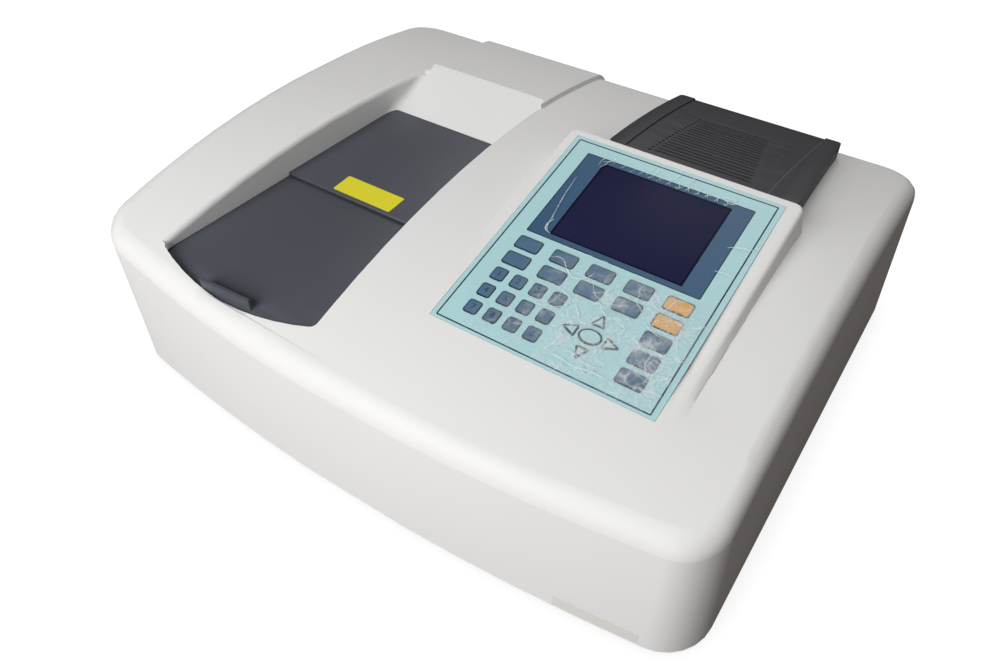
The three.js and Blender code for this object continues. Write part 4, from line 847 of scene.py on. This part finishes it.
def finish_key(node):
    """A pad with a navy outline; the pale keys have a wider one and stay flat."""
    piece = copy_of(node, node + "_pad")
    pale = node in ("key_cell", "key_right", "key_up", "key_left", "key_down")
    yellow = node in ("key_side_1", "key_side_2")
    field = key_pale if pale else key_yellow if yellow else key_blue
    paint_with(piece, key_navy, field)
    edit(piece)
    choose(piece, lambda face: face.normal.dot(PANEL_NORMAL) > 0.99)
    bpy.ops.mesh.inset(thickness=KEY_OUTLINE * (PALE_OUTLINE if pale else 1.0), depth=0.0)
    mesh = bmesh.from_edit_mesh(piece.data)
    for face in mesh.faces:
        if face.select:
            face.material_index = 1
    bmesh.update_edit_mesh(piece.data)
    if not pale:
        bpy.ops.mesh.inset(thickness=DOME_INSET, depth=KEY_DOME)
    done()
    smooth(piece, 20 if pale else 50)
    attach(piece, NODES[node]["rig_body"])
    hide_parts(node)
    return piece


key_nodes = sorted(name for name in NODES if name.startswith("key_"))
keys = {name: finish_key(name) for name in key_nodes}
print("keys:", len(keys))

# %% [markdown]
# ## Numbers on the number keys
# A digit is generic, so the twelve number keys may carry theirs; the other keys stay bare. Each digit is
# a text curve, made a mesh before it is laid on its key's top in the panel's own frame.

# %% Digits
DIGITS = [["1", "2", "3", "."], ["4", "5", "6", "-"], ["7", "8", "9", "0"]]
DIGIT_SIZE = 0.0075
DIGIT_RISE = 0.00003


def add_digit(node, text):
    low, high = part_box(node)
    middle = PANEL.inverted() @ ((low + high) / 2)
    top = max((PANEL.inverted() @ vertex.co).z for vertex in keys[node].data.vertices)
    deselect()
    bpy.ops.object.text_add()
    letter = bpy.context.object
    letter.data.body = text
    letter.data.size = DIGIT_SIZE
    letter.data.align_x = "CENTER"
    letter.data.align_y = "CENTER"
    letter.data.extrude = DIGIT_RISE
    bpy.ops.object.convert(target="MESH")
    letter.data.transform(PANEL @ Matrix.Translation((middle.x, middle.y, top + DIGIT_RISE)))
    letter.name = node + "_digit"
    paint_with(letter, key_navy)
    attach(letter, NODES[node]["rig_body"])
    return letter


digits = [add_digit(f"key_number_{line + 1}_{column + 1}", text)
          for line, texts in enumerate(DIGITS) for column, text in enumerate(texts)]
print("digits:", len(digits))

# %% [markdown]
# ## The protective film
# The photographed instrument still wears the thin clear film that protects its panel. The film has come
# loose in places, and the glints that its folds catch from the lamp are painted as white strokes: a broken
# row of them along the top of the display, one long soft fold at its left, and a tangle over the lower right
# of the panel.

# %% Film finish
FILM_RISE = 0.0013


def lay_on_panel(piece, across, up, scales):
    """Scales a flat mesh and lays it just above this point of the panel, given in millimetres."""
    place = PANEL @ Vector((across * MM, up * MM, FILM_RISE))
    tilted = Matrix.Translation(place) @ Matrix.Rotation(PANEL_TILT, 4, "X")
    piece.data.transform(tilted @ Matrix.Diagonal((*scales, 1)))


def clear_film():
    """Clear, with painted white glints on its folds and crumple, and a milky haze, where the film is loose:
    low on the panel, towards its right.
    """
    paint = Paint("clear_film")
    across, up = panel_axes(paint)
    sockets = {"Vector": paint.place, "Scale": 30.0, "Detail": 3.0}
    drift = paint.node("ShaderNodeTexNoise", {}, sockets, "Color")
    bent = paint.node("ShaderNodeVectorMath", {"operation": "MULTIPLY_ADD"},
                      {0: drift, 1: (0.03, 0.03, 0.03), 2: paint.place})
    edge = paint.cells(42.0, bent, "DISTANCE_TO_EDGE")
    fine = paint.cells(150.0, bent, "DISTANCE_TO_EDGE")
    patch = paint.noise(48.0, 3.0, distortion=0.6)
    haze = paint.noise(120.0, 5.0, bent, 1.4)
    low = 1.0 - up.between(98.0, 112.0)
    right = (across - up * 0.35).between(10.0, 110.0)
    inside = across.between(2.0, 8.0) * (1.0 - across.between(190.0, 199.0)) * up.between(0.0, 6.0)
    place = low * right * inside
    # Painted highlights: the folds and the crumple turn white where they would catch the lamp.
    folds = (1.0 - edge.between(0.004, 0.045)) * patch.between(0.42, 0.60) * 0.42
    crumple = (1.0 - fine.between(0.02, 0.16)) * patch.between(0.48, 0.66) * 0.16
    milk = haze.between(0.34, 0.66) * patch.between(0.30, 0.55) * 0.34 + 0.06
    share = ((folds + crumple + milk) * place).at_most(0.55)
    milky = paint.shades(srgb(236, 241, 243), 0.03, haze)
    white = paint.shader(milky, 0.3 + haze * 0.1, Specular_IOR_Level=0.3)
    clear = paint.node("ShaderNodeBsdfTransparent", {}, {0: paint.shades(srgb(253, 254, 254), 0.002, haze)})
    return paint.finish(paint.node("ShaderNodeMixShader", {}, {0: share, 1: clear, 2: white}))


# The strokes' finish: white that stands for the glint on each fold, a painted highlight.
def painted_fold_glint():
    paint = Paint("painted_fold_glint")
    grain = paint.noise(400.0, 3.0)
    white = paint.shader(paint.shades(srgb(240, 244, 246), 0.02, grain), 0.3 + grain * 0.1)
    clear = paint.node("ShaderNodeBsdfTransparent", {}, {0: (1.0, 1.0, 1.0, 1.0)})
    share = grain.between(0.3, 0.65) * 0.42 + 0.12
    return paint.finish(paint.node("ShaderNodeMixShader", {}, {0: share, 1: clear, 2: white}))


film_clear = clear_film()
film_fold = painted_fold_glint()
print("film finishes ready")

# %% [markdown]
# The film itself is a fine grid that floats 1.3 mm above the panel and ripples by a third of a millimetre.

# %% Film sheet
RIPPLE_SIZE, RIPPLE_HEIGHT = 0.03, 0.0007
FILM_MIDDLE, FILM_SIZE = (100, 113), (0.197, 0.222)

deselect()
bpy.ops.mesh.primitive_grid_add(x_subdivisions=70, y_subdivisions=80, size=1)
film = bpy.context.object
film.name = "panel_film"
lay_on_panel(film, *FILM_MIDDLE, (*FILM_SIZE, 1))
ripples = bpy.data.textures.new("ripples", "CLOUDS")
ripples.noise_scale = RIPPLE_SIZE
with_modifier(film, "DISPLACE", texture=ripples, texture_coords="LOCAL",
              strength=RIPPLE_HEIGHT, mid_level=0.5)
smooth(film, 60)
paint_with(film, film_clear)
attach(film, "housing")
print("film faces:", len(film.data.polygons))

# %% [markdown]
# Its larger folds are strokes, white with their painted glints. Each row of the table holds a stroke's
# width and its course over the panel, both in millimetres. The broken row along the top of the display comes
# from a loop.

# %% Film folds
FOLD_FLATNESS = 0.4
FOLDS = [
    (0.45, [(27, 187), (29, 161), (33, 136), (34.5, 125), (38, 119)]),
    (0.80, [(35.5, 134), (33.6, 127), (35, 121), (41, 118)]),
    (0.45, [(37, 208), (36.9, 215.8), (41, 221), (47, 222), (44, 217), (38, 214)]),
    (0.45, [(39, 206), (42, 212), (43.5, 219)]),
    (0.45, [(80, 216), (83, 226), (84.5, 235)]), (0.35, [(87, 215), (88, 224), (86, 231)]),
    (0.40, [(104, 220), (106.5, 229), (107, 236)]), (0.45, [(112, 213), (117, 221), (120, 229), (116, 232)]),
    (0.60, [(177, 171), (183, 175), (190, 176.5), (200, 178.8)]),
    (0.55, [(178, 144), (186, 146), (194, 145)]),
    (0.50, [(55, 96), (64, 99), (75, 90), (84, 86), (92, 90), (96, 98)]),
    (0.40, [(100, 92), (103, 83), (110, 77), (117, 76)]),
    (0.50, [(123, 101), (118, 92), (112, 84), (104, 79)]),
    (0.45, [(138, 96), (139, 88), (146, 82), (150, 76)]), (0.45, [(65, 72), (76, 72), (86, 69), (97, 64)]),
    (0.70, [(97, 64), (104, 57), (109, 51), (118, 49)]), (0.60, [(79, 49), (87, 54), (93, 61), (91, 66)]),
    (0.40, [(113, 74), (122, 66), (128, 64), (139, 70), (147, 66)]),
    (0.40, [(150, 76), (162, 68), (176, 66)]),
    (0.45, [(96, 10), (110, 14), (125, 12), (143, 14), (160, 12)]),
    (0.40, [(104, 20), (118, 22), (134, 18), (150, 21)]),
    (0.35, [(60, 112), (72, 111.5), (86, 112.5)]), (0.35, [(92, 111), (98, 112.5), (104, 109)]),
]


def stroke(curve, width, places):
    spline = curve.splines.new("BEZIER")
    spline.bezier_points.add(len(places) - 1)
    for index, (point, place) in enumerate(zip(spline.bezier_points, places)):
        point.co = (place[0] * MM, place[1] * MM, 0)
        point.handle_left_type = point.handle_right_type = "AUTO"
        point.radius = width * (0.35 if index in (0, len(places) - 1) else 1.0)


folds = bpy.data.curves.new("folds", "CURVE")
folds.dimensions = "3D"
folds.bevel_depth = MM
folds.bevel_resolution = 2
folds.resolution_u = 8
for width, places in FOLDS:
    stroke(folds, width, places)
for index in range(13):
    left, lean, width = 47 + 8.9 * index, (index * 7) % 5, 0.3 + 0.02 * index
    stroke(folds, width, [(left, 213 + lean * 0.4), (left + 1.5, 217.5 - lean), (left + 3.4, 219.0)])
    if index > 4:
        stroke(folds, width, [(left + 3.4, 214), (left + 2.2, 218 + lean * 0.6), (left + 5, 217 + lean * 0.8)])
stroke(folds, 0.6, [(146, 217), (150, 221), (157, 223), (163, 221), (160, 217), (153, 218)])
crease = new_object("film_folds", folds)
only(crease)
bpy.ops.object.convert(target="MESH")
lay_on_panel(crease, 0, 0, (1, 1, FOLD_FLATNESS))
smooth(crease, 60)
paint_with(crease, film_fold)
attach(crease, "housing")
print("fold faces:", len(crease.data.polygons))

# %% [markdown]
# ## What the other pieces are dressed in
# The pieces inside and at the rear keep their CAD forms. A table gives each its finish, its bevel in
# millimetres and its slot in the record.

# %% Dress the rest
FEET = [f"foot_{end}_{side}" for end in ("front", "rear") for side in ("left", "right")]
REST = {
    "base_pan": (pan_steel, 0.3, "pan_steel"),
    **{foot: (rubber, 0.8, "foot_rubber") for foot in FEET},
    "display_module": (board_green, 0.4, "board_green"),
    "sample_tub": (black_plastic, 0.4, "black_plastic"),
    "monochromator_case": (cast_aluminium, 0.8, "cast_aluminium"),
    "detector_block": (black_anodised, 0.6, "black_anodised"),
    "lamp_house": (steel_sheet, 0.4, "steel_sheet"),
    "halogen_lamp": (halogen_glass, 0.4, "lamp_glass"),
    "deuterium_lamp": (deuterium_glass, 0.4, "lamp_glass"),
    "main_board": (board_green, 0.2, "board_green"),
    "power_supply": (steel_sheet, 0.5, "steel_sheet"),
    "fan_frame": (black_plastic, 0.5, "black_plastic"),
    "power_inlet": (black_plastic, 0.3, "black_plastic"),
    "data_port": (shell_metal, 0.2, "shell_metal"),
    "cell_carriage": (black_anodised, 0.4, "black_anodised"),
    "cuvette_reference": (cell_glass, 0.2, "cell_glass"),
    "cuvette_sample": (cell_glass, 0.2, "cell_glass"),
    "grating_turret": (turret_aluminium, 0.3, "turret_aluminium"),
    "source_mirror": (mirror_metal, 0.2, "mirror_coat"),
    "fan_rotor": (black_plastic, 0.3, "black_plastic"),
    "power_switch": (black_gloss, 0.4, "black_gloss"),
}
record_slots = {m["slot"] for m in frame["record"]["materials"]}
for node, (material, bevel, slot) in REST.items():
    dress(node, node + "_finished", material, bevel * MM, slot if slot in record_slots else None)
print("dressed:", len(REST))

# %% [markdown]
# ## Yellow label on the deck
# A thin adhesive label lies on the deck just behind the seam. Its print is left out, so it is a bare
# yellow sheet with rounded corners and the hairline of glue shadow that its thickness gives.

# %% Label
LABEL = (-0.164, -0.095, -0.0705, -0.0465)
LABEL_THICKNESS = 0.00018
LABEL_CORNER = 0.0015


def add_sheet(name, left, right, front, back, bottom, thickness, corner, material, body):
    """A flat sheet with rounded corners: a plane is extruded, and its upright edges are bevelled."""
    deselect()
    bpy.ops.mesh.primitive_plane_add(size=1)
    sheet = bpy.context.object
    sheet.name = name
    place = Matrix.Translation(((left + right) / 2, (front + back) / 2, bottom))
    sheet.data.transform(place @ Matrix.Diagonal((right - left, back - front, 1, 1)))
    edit(sheet)
    bpy.ops.mesh.select_all(action="SELECT")
    bpy.ops.mesh.extrude_region_move(TRANSFORM_OT_translate={"value": (0, 0, thickness)})
    choose(sheet, lambda edge: abs(edge.verts[0].co.z - edge.verts[1].co.z) > thickness / 2, "edges")
    bpy.ops.mesh.bevel(offset=corner, segments=5, affect="EDGES")
    bpy.ops.mesh.select_all(action="SELECT")
    bpy.ops.mesh.normals_make_consistent(inside=False)
    done()
    smooth(sheet, 40)
    paint_with(sheet, material)
    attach(sheet, body)
    return sheet


deck_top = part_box("rear_deck")[1].z
label = add_sheet("deck_label", *LABEL, deck_top, LABEL_THICKNESS, LABEL_CORNER, label_yellow, "housing")
print(label.name, "lies at", round(deck_top, 4))

# %% [markdown]
# ## Bare strip, screws and pins
# Low on the front wall lies a long pale strip, left without print. It follows the bowed wall: each of
# its sections is found by looking at the wall from the front. The screws that hold the cover to the pan
# and the pins in the data port are at the rear, which the photograph hides.

# %% Front strip
STRIP_LEFT, STRIP_RIGHT, STRIP_LOW, STRIP_HIGH = 0.199, 0.2705, 0.0056, 0.0200
STRIP_STEPS, STRIP_PROUD, STRIP_SUNK = 18, 0.00016, 0.0003


def wall_at(x, z, side):
    """Where the cover's front (side -1) or rear (side 1) wall lies at this x and z."""
    return cover.ray_cast(Vector((x, 0.5 * side, z)), Vector((0, -side, 0)))[1]


def strip_ring(x):
    low, high = wall_at(x, STRIP_LOW, -1), wall_at(x, STRIP_HIGH, -1)
    out, back = Vector((0, -STRIP_PROUD, 0)), Vector((0, STRIP_SUNK, 0))
    return [low + out, high + out, high + back, low + back]


strip_rings = [strip_ring(STRIP_LEFT + (STRIP_RIGHT - STRIP_LEFT) * step / STRIP_STEPS)
               for step in range(STRIP_STEPS + 1)]
loft("front_strip", strip_rings, strip_label, "housing")
print("front strip sections:", len(strip_rings))

# %% Screws
def circle(radius, height, sides=24):
    return [Vector((radius * math.cos(math.tau * n / sides), radius * math.sin(math.tau * n / sides), height))
            for n in range(sides)]


def hexagon(across, height, sides=24):
    """A hexagon with as many points as the circles, so that it can close a row of them."""
    places = []
    for n in range(sides):
        turn = math.tau * n / sides
        reach = across / 2 / math.cos(turn % (math.pi / 3) - math.pi / 6)
        places.append(Vector((reach * math.cos(turn), reach * math.sin(turn), height)))
    return places


# A domed head with a hexagon socket, ring by ring from the wall outwards and down into the socket.
SCREW = [circle(0.0028, -0.001), circle(0.0028, 0.0007), circle(0.00262, 0.0011), circle(0.0021, 0.0015),
         circle(0.0016, 0.00165), circle(0.00145, 0.00165), hexagon(0.002, 0.0016), hexagon(0.002, 0.0006)]
SCREW_PLACES = (-0.262, 0.030, 0.262)
SCREW_HEIGHT = 0.031

screws = [loft("cover_screw_1", SCREW, screw_steel, "housing")]
for number in range(2, len(SCREW_PLACES) + 1):
    screw = new_object(f"cover_screw_{number}", screws[0].data.copy())
    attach(screw, "housing")
    screws.append(screw)
for screw, x in zip(screws, SCREW_PLACES):
    place = Matrix.Translation(wall_at(x, SCREW_HEIGHT, 1))
    screw.data.transform(place @ Matrix.Rotation(math.radians(-90), 4, "X"))
print("screws:", len(screws))

# %% Data port pins
PORT_X, PIN_PITCH = -0.039, 0.00277
PIN_ROWS = ((5, 0.0534), (4, 0.0506))
PIN_PROFILE = ((0.2470, 0.0005), (0.2570, 0.0005), (0.2577, 0.0004), (0.2580, 0.0002))


def pin(name, x, z):
    """A round pin that points out of the rear wall, with a rounded tip."""
    rings = [[Vector((x, y, z)) + Vector((place.x, 0, place.y)) for place in circle(reach, 0, 12)]
             for y, reach in PIN_PROFILE]
    return loft(name, rings, pin_gold, "housing")


pins = []
for count, height in PIN_ROWS:
    for place in range(count):
        x = PORT_X + (place - (count - 1) / 2) * PIN_PITCH
        pins.append(pin(f"port_pin_{len(pins)}", x, height))
print("pins:", len(pins))

# %% [markdown]
# ## Floor, background and light
# The photograph is a product shot on white: one broad soft lamp from the front left, a weaker one high
# behind, a faint low one in front, and a dark right-hand side. The floor and sky are white only to the
# camera, so that they don't flood the shaded side of the housing with light.

# %% World
ROOM_COLOUR = (1.0, 0.94, 0.90, 1)
ROOM_STRENGTH = 0.115

world = bpy.data.worlds.new("studio")
bpy.context.scene.world = world
world.use_nodes = True
sky = world.node_tree
sky.nodes.clear()
sky_output = sky.nodes.new("ShaderNodeOutputWorld")


def background(colour, strength):
    made = sky.nodes.new("ShaderNodeBackground")
    made.inputs["Color"].default_value = colour
    made.inputs["Strength"].default_value = strength
    return made


seen = background((1, 1, 1, 1), 1.0)
room = background(ROOM_COLOUR, ROOM_STRENGTH)
path = sky.nodes.new("ShaderNodeLightPath")
blend = sky.nodes.new("ShaderNodeMixShader")
sky.links.new(path.outputs["Is Camera Ray"], blend.inputs[0])
sky.links.new(room.outputs[0], blend.inputs[1])
sky.links.new(seen.outputs[0], blend.inputs[2])
sky.links.new(blend.outputs[0], sky_output.inputs["Surface"])
print("world ready")

# %% Floor
FLOOR_SIZE = 14
SHADOW_REACH, SHADOW_DEPTH = 0.03, 0.27


def floor_paint():
    """White to the camera, with a painted shadow that darkens it close to the object, and grey to the light.
    """
    paint = Paint("studio_floor")
    cloud = paint.noise(3.0, 2.0)
    camera_ray = paint.node("ShaderNodeLightPath", output="Is Camera Ray")
    white = paint.shades(srgb(96, 96, 96), 0.01, cloud)
    lit = paint.node("ShaderNodeBsdfDiffuse", {}, {"Color": paint.mix(camera_ray, srgb(112, 103, 98), white)})
    nearness = paint.node("ShaderNodeAmbientOcclusion", {}, {"Distance": SHADOW_REACH}, "AO")
    # A painted shadow: the floor's glow is dimmer where the object is near.
    strength = camera_ray * (nearness * SHADOW_DEPTH + (1 - SHADOW_DEPTH))
    glow = paint.node("ShaderNodeEmission", {}, {"Color": (1, 1, 1, 1), "Strength": strength})
    return paint.finish(paint.node("ShaderNodeAddShader", {}, {0: lit, 1: glow}))


deselect()
bpy.ops.mesh.primitive_plane_add(size=FLOOR_SIZE)
floor = bpy.context.object
floor.name = "studio_floor"
floor.data.materials.append(floor_paint())
print("floor ready")

# %% Lamps
# Each lamp has a name, a place, an aim, a size and a power.
LAMPS = [
    ("key_lamp", (-0.35, -1.6, 1.05), (0, 0, 0.1), 1.3, 31),
    ("top_lamp", (0.0, 1.5, 1.95), (0, 0, 0.1), 1.6, 23),
    ("low_lamp", (0.35, -1.6, 0.4), (0.1, 0, 0.1), 1.0, 4.3),
]


def soft_lamp(name, place, aim, size, power):
    """A square area lamp, its size in metres and its power in watts."""
    data = bpy.data.lights.new(name, "AREA")
    data.shape = "SQUARE"
    data.size = size
    data.energy = power
    lamp = new_object(name, data)
    turn = (Vector(place) - Vector(aim)).to_track_quat("Z", "Y")
    lamp.matrix_world = Matrix.Translation(place) @ turn.to_matrix().to_4x4()


for settings in LAMPS:
    soft_lamp(*settings)
print("lamps:", len(LAMPS))

# %% [markdown]
# ## Finish
# The view transform is Standard, so that a colour renders about as it was written.

# %% Finish
bpy.context.scene.view_settings.view_transform = "Standard"
